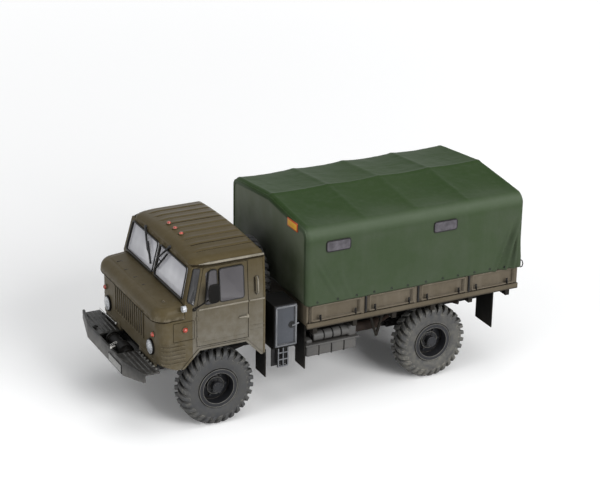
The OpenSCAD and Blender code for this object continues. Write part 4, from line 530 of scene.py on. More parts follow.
# a rounded ring on a flat outline, such as a pane's rubber; corners run anticlockwise seen from outside
def ringFrame(bm, corners, radius, width, proud, index=0, segments=4, pane=None):
    own = bmesh.new()
    verts = [own.verts.new(corner) for corner in corners]
    own.faces.new(verts)
    roundOff(own, verts, radius, segments, "VERTICES")
    own.normal_update()
    facing = own.faces[:][0].normal.copy()
    middle = own.faces[:]
    ring = bmesh.ops.inset_region(own, faces=middle, thickness=width, use_boundary=True,
                                  use_even_offset=True)["faces"]
    if pane is None:
        bmesh.ops.delete(own, geom=middle, context="FACES_ONLY")
    else:
        for face in middle:
            face.material_index = pane
            bmesh.ops.translate(own, vec=facing * -0.12, verts=face.verts)
    for face in ring:
        face.material_index = index
    bmesh.ops.translate(own, vec=facing * proud, verts=own.verts)
    bmesh.ops.solidify(own, geom=own.faces[:], thickness=-proud * 2.2)
    bmesh.ops.recalc_face_normals(own, faces=own.faces)
    roundOff(own, sharpEdges(own, 1.0), min(width, proud) * 0.45, 2)
    joinShape(bm, own)


# canvas cover: one sheet from hem to hem, pressed in between the bows and creased at the corners
coverLook = {
    "hemHalf": 33.75, "eaveHalf": 33.2, "hem": 43.7, "eave": 74.45, "ridge": 77.9, "eaveRadius": 4.1,
    "front": -34.8, "back": -131.6, "bows": [-36.2, -60.6, -83.3, -106.4, -130.4],
    "roofSag": 0.75, "sideSag": 0.34, "crest": 0.16, "ridgeCrest": 0.16, "endRadius": 2.3, "thickness": 0.7,
    "rows": 150, "columns": 44,
    # folds on both sides: start and end as (x, z), height, half width
    "folds": [((-126.0, 61.5), (-118.9, 44.2), 1.15, 0.8), ((-129.6, 64.5), (-123.8, 44.4), 1.3, 0.85),
              ((-129.4, 58.0), (-127.4, 44.2), 0.8, 0.6), ((-39.3, 60.5), (-46.2, 48.2), 0.42, 0.8),
              ((-48.4, 58.0), (-53.0, 45.8), 0.32, 0.7), ((-37.2, 57.0), (-38.4, 45.0), 0.2, 0.6),
              ((-62.0, 72.0), (-63.5, 60.0), 0.12, 0.9), ((-85.0, 72.0), (-87.0, 58.0), 0.12, 0.9),
              ((-104.6, 72.0), (-102.4, 60.0), 0.12, 0.9), ((-122.0, 70.0), (-117.5, 57.0), 0.14, 1.0)],
}


def bowSag(x, bows):  # 0 on a bow, 1 in the middle of a bay
    for ahead, behind in zip(bows, bows[1:]):
        if behind <= x <= ahead:
            share = (ahead - x) / (ahead - behind)
            sag = 4 * share * (1 - share)
            return math.sqrt(sag * sag + 0.012) - math.sqrt(0.012)
    return 0.0


def foldHeight(x, z, folds):
    height = 0.0
    for (x0, z0), (x1, z1), tall, half in folds:
        run, drop = x1 - x0, z1 - z0
        along = ((x - x0) * run + (z - z0) * drop) / (run * run + drop * drop)
        if -0.3 < along < 1.3:
            away = ((x - x0) * drop - (z - z0) * run) / math.hypot(run, drop)
            ends = smoothStep(-0.25, 0.35, along) * smoothStep(1.3, 0.95, along)
            crest, trough = math.exp(-(away / half) ** 2), math.exp(-((away - 1.7 * half) / half) ** 2)
            height += tall * ends * (crest - 0.45 * trough)
    return height


def coverShape(place, normal, look):
    x, y, z = place
    span = look["eave"] - look["hem"]
    up = (z - look["hem"]) / span
    roofShare = smoothStep(0.35, 0.9, abs(normal.z))
    sag = bowSag(x, look["bows"])
    across = min(1.0, abs(y) / look["eaveHalf"])
    roofPress = look["roofSag"] * sag * (0.55 + 0.45 * math.sin(math.pi * min(1.0, across * 0.96)))
    sidePress = look["sideSag"] * sag * math.sin(math.pi * min(1.0, max(0.0, up))) ** 0.8
    move = -(roofShare * roofPress + (1 - roofShare) * sidePress)
    nearest = min(abs(x - bow) for bow in look["bows"])
    move += look["crest"] * math.exp(-(nearest / 0.8) ** 2) * (0.35 + 0.65 * roofShare)
    move += roofShare * look["ridgeCrest"] * math.exp(-(y / 0.9) ** 2)
    move += (1 - roofShare) * foldHeight(x, z, look["folds"])
    for height, scale in ((0.10, 0.16), (0.05, 0.5)):  # slack in the cloth
        move += height * noise.noise((x * scale, y * scale, z * scale))
    # the back lower corners stand out and the ends turn inwards
    move += (1 - roofShare) * 0.9 * smoothStep(-121, -131, x) * smoothStep(56, 44, z)
    reach = min(look["front"] - x, x - look["back"])
    if reach < look["endRadius"]:
        gap = look["endRadius"] - reach
        move -= look["endRadius"] - math.sqrt(max(0.0, look["endRadius"] ** 2 - gap * gap))
    return move


def buildCanvasCover(look):
    bm = bmesh.new()
    outline = [(look["hemHalf"], look["hem"]), (look["eaveHalf"], look["eave"]), (0, look["ridge"]),
               (-look["eaveHalf"], look["eave"]), (-look["hemHalf"], look["hem"])]
    verts = [bm.verts.new((look["back"], y, z)) for y, z in outline]
    for pair in zip(verts, verts[1:]):
        bm.edges.new(pair)
    roundOff(bm, [verts[1], verts[3]], look["eaveRadius"], 9, "VERTICES")
    spread = bmesh.ops.extrude_edge_only(bm, edges=bm.edges[:])["geom"]
    ahead = [item for item in spread if isinstance(item, bmesh.types.BMVert)]
    bmesh.ops.translate(bm, vec=(look["front"] - look["back"], 0, 0), verts=ahead)

    def run(edge):  # how far an edge goes along the truck
        return abs(edge.verts[0].co.x - edge.verts[1].co.x)

    lengthways = [edge for edge in bm.edges if run(edge) > 1]
    bmesh.ops.subdivide_edges(bm, edges=lengthways, cuts=look["rows"], use_grid_fill=True)
    around = [edge for edge in bm.edges if run(edge) < 0.01 and edge.calc_length() > 4]
    bmesh.ops.subdivide_edges(bm, edges=around, cuts=look["columns"], use_grid_fill=True)
    # closer rows at both ends, for the rounded edge
    back, long = look["back"], look["front"] - look["back"]
    for vert in bm.verts:
        share = (vert.co.x - back) / long
        vert.co.x = back + long * (share - 0.09 * math.sin(2 * math.pi * share))
    faceTowards(bm, Vector((0, 0, 1)))
    moves = [(vert, vert.normal.copy()) for vert in bm.verts]
    for vert, normal in moves:
        flat = Vector((0, normal.y, normal.z)).normalized()
        vert.co += flat * coverShape(vert.co, flat, look)
        if vert.co.z < look["hem"] + 6:  # the hem waves a little
            wave = 0.16 * noise.noise((vert.co.x * 0.25, vert.co.y, 3.0))
            vert.co.z += wave * smoothStep(look["hem"] + 6, look["hem"], vert.co.z)
    piece = newPiece("canvasCover", bm, [canvasPaint], stands=("canvas_cover",), sharp=60)
    panelWall(piece, look["thickness"])


buildCanvasCover(coverLook)
print("canvas cover shaped")


# canvas end panels: sheets that close the cover, a little behind its rim
panelLook = {"columns": 64, "rows": 48, "inset": 0.75, "frontBack": 0.2, "rearAhead": 0.6, "thickness": 0.5,
             "border": 1.3}


def coverTop(y, look, inset):  # height of the cover's inside over a place across the truck
    half, radius = look["eaveHalf"] - inset, look["eaveRadius"] - inset
    slope = (look["ridge"] - look["eave"]) / look["eaveHalf"]
    roof = look["ridge"] - inset - slope * abs(y)
    over = abs(y) - (half - radius)
    if over > 0:
        corner = look["ridge"] - inset - slope * (half - radius)
        roof = corner - radius + math.sqrt(max(0.0, radius * radius - over * over))
    return roof


def buildCanvasPanel(name, x, facing, shape, mats, stands, cover, look):
    bm = bmesh.new()
    bmesh.ops.create_grid(bm, x_segments=look["columns"], y_segments=look["rows"], size=1.0)
    half = cover["eaveHalf"] - look["inset"]
    for vert in bm.verts:
        across, up = vert.co.x, (vert.co.y + 1) / 2
        y = half * math.sin(across * math.pi / 2) if abs(across) < 1 else half * across
        top = coverTop(y, cover, look["inset"])
        z = cover["hem"] + up * (top - cover["hem"])
        vert.co = (x + facing * shape(y, z), y, z)
    faceTowards(bm, Vector((facing, 0, 0)))
    for face in bm.faces:
        middle = face.calc_center_median()
        edge = min(half - abs(middle.y), coverTop(middle.y, cover, look["inset"]) - middle.z)
        face.material_index = 1 if edge < look["border"] else 0
    panelWall(newPiece(name, bm, mats, stands=stands, sharp=60), look["thickness"])


def frontPanelShape(y, z):
    pucker = 0.22 * noise.noise((y * 0.12, z * 0.10, 1.0)) + 0.08 * noise.noise((y * 0.45, z * 0.3, 7.0))
    bulge = 0.35 * math.cos(y / 36 * math.pi / 2) * math.sin(max(0.0, min(1.0, (z - 44) / 32)) * math.pi)
    rim = min(coverLook["eaveHalf"] - panelLook["inset"] - abs(y),
              coverTop(y, coverLook, panelLook["inset"]) - z)
    return min(0.1, pucker - bulge) * smoothStep(0.3, 4.0, rim)


def rearPanelShape(y, z):
    hang = 0.2 * noise.noise((y * 0.22, z * 0.04, 4.0))
    hang += 0.22 * math.sin(y * 0.62 + 0.4 * math.sin(z * 0.2)) * smoothStep(70, 46, z)
    overlap = 0.32 * smoothStep(-1.2, -0.4, y) * smoothStep(74, 70, z)  # one flap laid over the other
    lap = smoothStep(51.5, 47.6, z)  # the hem hangs outside the tailgate
    loose = hang + overlap - 0.15
    return min(0.57, (1 - lap) * loose + lap * max(0.3, 0.42 + 0.35 * loose))


buildCanvasPanel("canvasFrontPanel", coverLook["front"] - panelLook["frontBack"], 1, frontPanelShape,
                 [canvasScuffedLitAndShaded, canvasPaint], ("canvas_front",), coverLook, panelLook)
buildCanvasPanel("canvasRearPanel", coverLook["back"] + panelLook["rearAhead"], -1, rearPanelShape,
                 [canvasPaint, canvasPaint], ("canvas_rear",), coverLook, panelLook)
print("canvas ends closed")

# eyelets along the hems, and the lacing points of the rear flap
eyeletLook = {"places": [-39.5, -48.3, -56.5, -64.2, -71.9, -79.0, -87.2, -94.9, -101.8, -109.4,
                         -116.6, -123.2],
              "height": 44.75, "half": 33.72, "radius": 0.52, "hole": 0.24, "proud": 0.14,
              "rear": [-27, -18, -9, 9, 18, 27], "rearHeight": 45.2, "tieRadius": 0.22,
              "tieLoop": [(-130.2, 33.4, 46.8), (-131.0, 34.7, 46.4), (-131.2, 35.1, 45.2),
                          (-131.1, 34.8, 43.9), (-130.6, 34.2, 43.4)]}


def buildEyelets(look):
    bm = bmesh.new()
    outline = [(look["hole"], -0.25), (look["hole"], 0.0), (look["hole"] + 0.06, look["proud"]),
               (look["radius"] - 0.08, look["proud"]), (look["radius"], 0.0), (look["radius"], -0.25),
               (look["hole"], -0.25)]
    for x in look["places"]:
        for side in (1, -1):
            outwards = Vector((0, side, 0))
            bulge = coverShape(Vector((x, side * look["half"], look["height"])), outwards, coverLook)
            turnedShape(bm, outline, (x, side * (look["half"] + bulge), look["height"]), outwards, steps=12)
    for y in look["rear"]:
        face = coverLook["back"] + panelLook["rearAhead"] - rearPanelShape(y, look["rearHeight"])
        turnedShape(bm, outline, (face, y, look["rearHeight"]), (-1, 0, 0), steps=12)
    for side in (1, -1):  # tie loop at each back corner
        barLine(bm, [(x, side * y, z) for x, y, z in look["tieLoop"]], look["tieRadius"], 0, 8)
    newPiece("canvasEyelets", bm, [rubberBlack])


buildEyelets(eyeletLook)

# window frames sewn on the canvas sides, each with a clouded pane
canvasWindowLook = {"places": [(-53.628, -43.028), (-100.576, -89.976)], "low": 64.5, "high": 69.1,
                    "half": 33.32, "radius": 1.1, "frame": 0.42, "proud": 0.12}


def buildCanvasWindows(look):
    bm = bmesh.new()
    low, high = look["low"], look["high"]
    for back, ahead in look["places"]:
        for side in (1, -1):
            corners = []
            for x, z in ((back, low), (back, high), (ahead, high), (ahead, low)):
                bulge = coverShape(Vector((x, side * look["half"], z)), Vector((0, side, 0)), coverLook)
                up = (z - coverLook["hem"]) / (coverLook["eave"] - coverLook["hem"])
                slant = (coverLook["hemHalf"] - coverLook["eaveHalf"]) * up
                corners.append((x, side * (coverLook["hemHalf"] - slant + bulge * 0.6 + 0.02), z))
            if side < 0:
                corners.reverse()
            ringFrame(bm, corners, look["radius"], look["frame"], look["proud"], 0, 4, pane=1)
    newPiece("canvasWindows", bm, [windowFrame, canvasGlass], stands=("canvas_windows",))


buildCanvasWindows(canvasWindowLook)
print("canvas fittings placed")


# distance inside the outline, and the place itself, brought onto it at the corners
def rimReach(x, y, look):
    middle, half = (look["back"] + look["front"]) / 2, (look["front"] - look["back"]) / 2
    ahead, side = abs(x - middle), abs(y)
    radius = look["frontCorner"] if x > middle else look["backCorner"]
    over, out = ahead - (half - radius), side - (look["half"] - radius)
    if over > 0 and out > 0:
        far = math.hypot(over, out)
        if far > radius:
            over, out, far = over * radius / far, out * radius / far, radius
            x = middle + math.copysign(half - radius + over, x - middle)
            y = math.copysign(look["half"] - radius + out, y)
        return radius - far, x, y
    return radius - max(over, out), x, y


# a pressed panel: a fine grid whose rim rolls down over a rounded outline
def pressedPanel(look, height):
    bm = bmesh.new()
    bmesh.ops.create_grid(bm, x_segments=look["rows"], y_segments=look["columns"], size=1.0)
    middle, half = (look["start"] + look["front"]) / 2, (look["front"] - look["start"]) / 2
    swell = look.get("swell", 2.2)
    beyond = set()
    for vert in bm.verts:
        # closer rows at the rim
        u, v = (0.7 * place + 0.3 * math.sin(place * math.pi / 2) for place in vert.co.xy)
        reach, x, y = rimReach(middle + half * u, look["half"] * v, look)
        if reach < 1e-6:
            beyond.add(vert)
        share = min(1.0, max(0.0, reach) / look["roll"])
        rise = (1 - (1 - share) ** swell) ** (1 / swell)
        vert.co = (x, y, look["rim"] + (height(x, y, reach) - look["rim"]) * rise)
    spare = [face for face in bm.faces if all(vert in beyond for vert in face.verts)]
    bmesh.ops.delete(bm, geom=spare, context="FACES")
    bmesh.ops.remove_doubles(bm, verts=bm.verts, dist=0.02)
    faceTowards(bm, Vector((0, 0, 1)))
    return bm


# cab roof with its long pressed ribs and drip rail
roofLook = {"back": -19.4, "start": -19.4, "front": 10.35, "half": 28.9, "frontCorner": 4.5,
            "backCorner": 2.2, "roll": 3.6, "rim": 66.0, "crown": 70.3, "fall": 1.9, "droop": 0.9,
            "rows": 64, "columns": 400, "ribs": 9, "pitch": 5.406, "ribEnds": (-17.0, 5.6), "bead": 0.17,
            "groove": 0.4, "grooveAway": 0.3, "grooveHalf": 0.21, "wall": 0.8, "rail": 0.46, "lip": 0.5}


def roofTop(x, y, look):
    return look["crown"] - look["fall"] * (y / look["half"]) ** 2 - look["droop"] * smoothStep(1, 12, x)


def roofHeight(x, y, reach, look=roofLook):
    height = roofTop(x, y, look)
    outer = look["ribs"] // 2
    away = y - max(-outer, min(outer, round(y / look["pitch"]))) * look["pitch"]
    low, high = look["ribEnds"]
    fade = smoothStep(low - 1.2, low + 0.6, x) * smoothStep(high + 1.6, high - 2.4, x)
    bead = look["bead"] * math.exp(-((away + 0.7) / 0.9) ** 2)
    groove = look["groove"] * math.exp(-((away - look["grooveAway"]) / 0.27) ** 2)
    return height + fade * (bead - groove)


def buildRoof(look):
    bm = pressedPanel(look, roofHeight)
    reach = (look["ribs"] // 2 + 0.5) * look["pitch"]
    start, end = look["ribEnds"]
    for face in bm.faces:  # dark wash and painted shade in the grooves
        x, y = face.calc_center_median().xy
        away = (y + reach) % look["pitch"] - look["pitch"] / 2
        inGroove = abs(away - look["grooveAway"]) < look["grooveHalf"] and abs(y) < reach
        if inGroove and start - 0.4 < x < end - 0.3:
            face.material_index = 1
    piece = newPiece("cabRoof", bm, [cabPaint, seamAndShadePaint], stands=("cab_roof",), sharp=70)
    panelWall(piece, look["wall"])
    # dark rail along each side, its dark colour a painted shade line under the roof's edge, and the rolled
    # lip over it in pale paint, a painted highlight
    rails = bmesh.new()
    edge, low, front = look["half"] + 0.3, look["rim"] + 0.2, look["front"]
    lip, high = edge - 0.14, low + 0.6
    for side in (1, -1):
        bend, tip = (front - 3.6, side * edge, low), (front - 0.9, side * (edge - 1.5), low)
        barLine(rails, [(look["back"] + 0.6, side * edge, low), bend, tip], look["rail"], 0, 10)
        taper = (front - 7.5, side * lip, high)
        roundBar(rails, (look["back"] + 0.5, side * lip, high), taper, look["lip"], 1, 10)
        roundBar(rails, taper, (front - 3.0, side * (lip - 0.3), high), look["lip"], 1, 10, 0.12)
    newPiece("roofRails", rails, [seamAndShadePaint, wornAndHighlitOlive])


buildRoof(roofLook)

# lid over the nose, rounded at its front and both sides
lidLook = {"back": 0.0, "start": 13.75, "front": 25.3, "half": 30.2, "frontCorner": 5.6, "backCorner": 0.1,
           "roll": 3.3, "swell": 2.5, "rim": 46.75, "top": (52.55, 51.45), "rows": 70, "columns": 170,
           "wall": 0.9, "underLipShade": 0.5, "underLipShadeInset": 0.42}


def lidTop(x, look=lidLook):  # height of the lid over a place ahead of the front axle
    share = (x - look["start"]) / (look["front"] - look["start"])
    return look["top"][0] + share * (look["top"][1] - look["top"][0])


def lidHeight(x, y, reach, look=lidLook):
    crease = 0.18 * smoothStep(4.6, 3.6, reach)  # the top is a shallow raised field
    return lidTop(x) - crease - 0.35 * (y / look["half"]) ** 4


def buildLid(look):
    bm = pressedPanel(look, lidHeight)
    lid = newPiece("frontLid", bm, [cabPaint], stands=("front_lid",), sharp=70)
    panelWall(lid, look["wall"])
    # dark bar under the lip, a painted shade line below the lid's overhang
    inset, z = look["underLipShadeInset"], look["rim"] - 0.12
    radius = look["frontCorner"] - inset
    x, y = look["front"] - look["frontCorner"], look["half"] - look["frontCorner"]
    bends = [math.radians(a) for a in (90, 68, 45, 22, 0)]
    strip = [(look["start"] + 0.3, look["half"] - inset, z)]
    strip += [(x + radius * math.cos(a), y + radius * math.sin(a), z) for a in bends]
    strip += [(x, -y, z) for x, y, z in reversed(strip)]
    underLipShade = bmesh.new()
    barLine(underLipShade, strip, look["underLipShade"], 0, 8)
    newPiece("lidUnderShade", underLipShade, [seamAndShadePaint])


buildLid(lidLook)
print("roof and lid pressed")

# marker lamps: a painted seat and a domed red lens
markerLook = {"front": (23.7, 24.19, 40.08), "side": (13.7, 30.2, 42.39), "roofX": 4.4,
              "roofY": (-5.9, 0.0, 5.9), "radius": 1.1, "roofRadius": 0.95}


def buildMarkers(look):
    bm = bmesh.new()

    def lamp(place, axis, r):
        seat = [(0, -0.3), (r * 1.12, -0.3), (r * 1.12, 0.2), (r * 1.0, 0.34), (r * 0.9, 0.34), (r * 0.9, 0),
                (0, 0)]
        lens = [(0, 1.05), (0.35, 1.0), (0.65, 0.82), (0.86, 0.52), (0.9, 0.1), (0, 0.1)]
        turnedShape(bm, seat, place, axis, 1, 20)
        turnedShape(bm, [(r * out, r * up) for out, up in lens], place, axis, 0, 20)

    for side in (1, -1):
        x, y, z = look["front"]
        lamp((x, side * y, z), (1, 0, 0), look["radius"])
        x, y, z = look["side"]
        lamp((x, side * y, z), (0, side, 0), look["radius"])
    for y in look["roofY"]:
        lamp((look["roofX"], y, roofTop(look["roofX"], y, roofLook)), (0, 0, 1), look["roofRadius"])
    newPiece("markerLamps", bm, [lampOrange, cabPaint], stands=("marker_lamps",))


buildMarkers(markerLook)

# mirrors: an oblong head on a bent arm at the front of each door
mirrorLook = {"x": (1.4, 5.8), "y": (33.95, 34.75), "z": (53.0, 60.6), "root": (9.9, 30.3, 49.9),
              "bend": (6.4, 33.2, 53.6), "corner": 1.5, "edge": 0.28, "arm": 0.3}


def buildMirrors(look):
    bm = bmesh.new()
    for side in (1, -1):
        (back, ahead), (inner, outer), (low, high) = look["x"], look["y"], look["z"]
        own = bmesh.new()
        spots = ((ahead, low), (back, low), (back, high), (ahead, high))
        verts = [own.verts.new((x, side * outer, z)) for x, z in spots]
        own.faces.new(verts)
        roundOff(own, verts, look["corner"], 5, "VERTICES")
        faceTowards(own, Vector((0, side, 0)))
        bmesh.ops.solidify(own, geom=own.faces[:], thickness=outer - inner)
        bmesh.ops.recalc_face_normals(own, faces=own.faces)
        roundOff(own, sharpEdges(own, 1.2), look["edge"], 3)
        joinShape(bm, own)
        root, bend = ((x, side * y, z) for x, y, z in (look["root"], look["bend"]))
        middle = ((back + ahead) / 2, side * inner, (low + high) / 2 - 1.2)
        barLine(bm, [root, bend, middle], look["arm"], 0, 10)
        foot = [(0, 0.6), (0.45, 0.55), (0.62, 0.2), (0.8, 0), (0.8, -0.3), (0, -0.3)]
        turnedShape(bm, foot, root, (0, side, 0), 0, 14)
    newPiece("mirrorHeads", bm, [flapPaint], stands=("mirrors",))


buildMirrors(mirrorLook)

# grille: upright bars in front of a dark opening, and louvres round the lower corners
grilleLook = {"face": 23.72, "half": 14.0, "low": 34.6, "high": 45.6, "slots": 13, "bar": 0.52,
              "louvres": [29.2, 30.85, 32.5, 34.15, 35.8], "corner": (18.7, 25.2, 5.02), "sideEnd": 13.6,
              "louvre": 0.4}


def buildGrille(look):
    bm = bmesh.new()
    face, half, low, high = look["face"], look["half"], look["low"], look["high"]
    softBlock(bm, (face - 1.0, -half, low), (face + 0.05, half, high), 0.02, 1)
    pitch = 2 * half / look["slots"]
    wide = pitch * look["bar"] / 2
    for index in range(look["slots"] + 1):
        y = -half + index * pitch
        softBlock(bm, (face - 0.4, y - wide, low - 0.3), (face + 0.42, y + wide, high + 0.2), 0.2, 0, 3)
    for z in (low - 0.1, high):
        softBlock(bm, (face - 0.4, -half - wide, z - 0.45), (face + 0.3, half + wide, z + 0.35), 0.2, 0, 3)
    x, y, radius = look["corner"]
    bends = [math.radians(a) for a in (38, 51, 64, 77, 90)]
    for side in (1, -1):
        for z in look["louvres"]:
            line = [(x + radius * math.cos(a), side * (y + radius * math.sin(a)), z) for a in bends]
            barLine(bm, line + [(look["sideEnd"], side * (y + radius), z)], look["louvre"], 0, 10)
    newPiece("grilleBars", bm, [cabPaint, rubberBlack], stands=("grille",))


buildGrille(grilleLook)
print("markers, mirrors and grille placed")


# rubber seals around the cab's panes; corner is the dark quarter behind the windscreen post
sealLook = {"width": 0.5, "proud": 0.2, "radius": 1.2, "screenX": (13.611, 10.297),
            "screenZ": (52.61, 66.015), "paneZ": (53.415, 65.0), "paneY": (0.906, 27.21, 26.21),
            "sideZ": (51.2, 64.0), "doorX": (-10.45, -0.4), "quarterX": (0.4, 5.8, 3.6),
            "corner": [(12.9, 53.6), (10.1, 51.2), (6.75, 65.4), (9.75, 65.9)], "wallY": 30.2,
            "belt": 49.985, "eaveY": 28.8, "eaveZ": 68.0056}


def screenPoint(y, z, look):
    share = (z - look["screenZ"][0]) / (look["screenZ"][1] - look["screenZ"][0])
    return (look["screenX"][0] + share * (look["screenX"][1] - look["screenX"][0]), y, z)


def cabWall(x, z, side, look):
    share = max(0.0, (z - look["belt"]) / (look["eaveZ"] - look["belt"]))
    return (x, side * (look["wallY"] + share * (look["eaveY"] - look["wallY"])), z)


def wallLoop(spots, side, look):  # places on the cab wall, anticlockwise seen from outside
    return [cabWall(x, z, side, look) for x, z in spots][::side]


def buildSeals(look):
    bm = bmesh.new()
    low, high = look["paneZ"]
    zLow, zHigh = look["sideZ"]
    grow = look["width"] * 0.55
    slim = grow * 0.5
    for side in (1, -1):
        inner, lowOut, highOut = look["paneY"]
        spots = ((inner - slim, low - grow), (lowOut + grow, low - grow), (highOut + grow, high + grow),
                 (inner - slim, high + grow))
        loop = [screenPoint(side * y, z, look) for y, z in spots][::side]
        ringFrame(bm, loop, look["radius"], look["width"], look["proud"])
        for back, aheadLow, aheadHigh in ((*look["doorX"], look["doorX"][1]), look["quarterX"]):
            spots = ((aheadLow + slim, zLow - grow), (back - slim, zLow - grow), (back - slim, zHigh + grow),
                     (aheadHigh + slim, zHigh + grow))
            loop = wallLoop(spots, side, look)
            ringFrame(bm, loop, look["radius"], look["width"] * 0.8, look["proud"], 0, 4, pane=2)
        ringFrame(bm, wallLoop(look["corner"], side, look), 0.7, 0.3, 0.16, 0, 4, pane=1)
    newPiece("paneSeals", bm, [rubberBlack, darkGlass, sideGlass])


buildSeals(sealLook)

# wipers: pivot, sprung arm and blade for each pane; places are (y, z) on the windscreen
wiperLook = {"off": 0.75, "arms": [((-14.5, 66.6), (-7.6, 59.8)), ((9.0, 66.9), (2.6, 60.6))],
             "blades": [((-9.6, 62.6), (-3.1, 55.9)), ((8.6, 64.0), (1.6, 55.8))]}


def buildWipers(look, panes):
    bm = bmesh.new()

    def onScreen(spot, lift):
        x, y, z = screenPoint(spot[0], spot[1], panes)
        return Vector((x + lift * 0.97, y, z + lift * 0.24))

    for (pivot, knee), (top, tip) in zip(look["arms"], look["blades"]):
        cap = [(0, 0.75), (0.45, 0.68), (0.62, 0.4), (0.7, 0), (0.7, -0.5), (0, -0.5)]
        turnedShape(bm, cap, onScreen(pivot, 0.2), (0.97, 0, 0.24), 0, 14)
        off = look["off"]
        roundBar(bm, onScreen(pivot, 0.5), onScreen(knee, off + 0.12), 0.5, 0, 8, 0.34)
        roundBar(bm, onScreen(top, off - 0.1), onScreen(tip, off - 0.1), 0.36, 0, 8)
        roundBar(bm, onScreen(top, off - 0.4), onScreen(tip, off - 0.4), 0.24, 0, 6)
        middle = [(a + b) / 2 for a, b in zip(top, tip)]
        roundBar(bm, onScreen(middle, off - 0.3), onScreen(middle, off + 0.3), 0.34, 0, 8)
        roundBar(bm, onScreen(knee, off + 0.1), onScreen(middle, off + 0.15), 0.22, 0, 8)
    newPiece("wiperArms", bm, [rubberBlack], stands=("wipers",))


buildWipers(wiperLook, sealLook)
print("seals and wipers placed")

# cab trim: belt bead, door and grab handles, hinges, creases, a panel line, and the lid's vents and knob
trimLook = {"beadZ": 49.3, "beadRuns": [(-18.9, -12.75), (-12.1, 8.2)], "handleX": (-12.4, -8.2),
            "handleZ": 43.3, "hinges": [(8.9, 46.0), (8.9, 37.6)],
            "vents": [(-19.6, 19.6), (-10.9, 19.9), (-2.7, 19.5), (5.4, 19.4)], "knob": (19.2, 23.2),
            "creases": [(-18.9, -13.0, 38.9), (-18.9, -13.0, 37.2), (-11.0, 7.4, 36.0)],
            "grab": (-15.9, 51.4, 58.5), "panelLine": (9.9, 18.4, 37.9, 45.6)}


def buildTrim(look, walls):
    bm = bmesh.new()
    for side in (1, -1):
        # the belt bead in pale paint is a painted highlight along the crease
        for back, ahead in look["beadRuns"]:
            roundBar(bm, cabWall(back, look["beadZ"], side, walls),
                     cabWall(ahead, look["beadZ"], side, walls), 0.4, 1, 10)
        wall = side * walls["wallY"]
        back, ahead = look["handleX"]
        z = look["handleZ"]
        boss = [(0, 0.9), (0.5, 0.85), (0.62, 0.5), (0.8, 0.15), (0.85, -0.2), (0, -0.2)]
        turnedShape(bm, boss, (back + 0.7, wall, z), (0, side, 0), 1, 14)
        grip = (back + 0.5, wall + side * 0.75, z)
        roundBar(bm, grip, (ahead, wall + side * 0.55, z + 0.15), 0.36, 1, 8, 0.26)
        for x, z in look["hinges"]:
            roundBar(bm, (x, wall + side * 0.12, z - 0.9), (x, wall + side * 0.12, z + 0.9), 0.34, 0, 8)
        for back, ahead, z in look["creases"]:
            roundBar(bm, (back, wall, z), (ahead, wall, z), 0.16, 0, 8)
        back, ahead, low, high = look["panelLine"]
        spots = ((ahead, low), (back, low), (back, high), (ahead, high))
        ringFrame(bm, wallLoop(spots, side, walls), 0.4, 0.14, 0.03, 3, 3)
        # grab handle on the pillar behind the door, over a dark recess
        x, low, high = look["grab"]
        lean = [cabWall(x, z, side, walls) for z in (low, low + 1.3, high - 1.3, high)]
        lifted = [Vector(spot) + Vector((0, side * lift, 0)) for spot, lift in zip(lean, (0, 1.0, 1.0, 0))]
        barLine(bm, lifted, 0.36, 1, 10)
        spots = ((x + 0.8, low - 0.2), (x - 0.8, low - 0.2), (x - 0.8, high + 0.2), (x + 0.8, high + 0.2))
        ringFrame(bm, wallLoop(spots, side, walls), 0.7, 0.2, 0.1, 2, 4, pane=2)
    for y, x in look["vents"]:
        top = lidTop(x)
        softBlock(bm, (x - 1.1, y - 0.14, top - 0.2), (x + 1.1, y + 0.14, top + 0.07), 0.05, 2)
        softBlock(bm, (x - 1.2, y + 0.5, top - 0.2), (x - 0.9, y + 1.1, top + 0.08), 0.05, 2)
    x, y = look["knob"]
    knob = [(0, 0.55), (0.3, 0.5), (0.45, 0.3), (0.4, 0.1), (0.62, 0), (0.62, -0.3), (0, -0.3)]
    turnedShape(bm, knob, (x, y, lidTop(x)), (0, 0, 1), 0, 14)
    newPiece("cabTrim", bm, [sidePaintDustyAndLit, wornAndHighlitOlive, rubberBlack, seamAndShadePaint])


buildTrim(trimLook, sealLook)

# fittings on the bumper: shackle pin and chain, lever with a pale knob, studs on the left tread
shackleLook = {"pin": (32.88, 5.4, 28.4),
               "chain": [(33.2, 4.0, 28.3), (32.5, 3.4, 28.35), (31.6, 3.2, 28.5), (30.7, 3.2, 28.9)],
               "knob": (24.5, -12.6, 29.3), "leverRoot": (24.4, -30.2, 28.5), "lever": 0.16, "studX": 24.75,
               "studZ": 27.9, "studs": [13.0, 15.6, 18.2, 20.8, 23.4, 26.0, 28.6]}


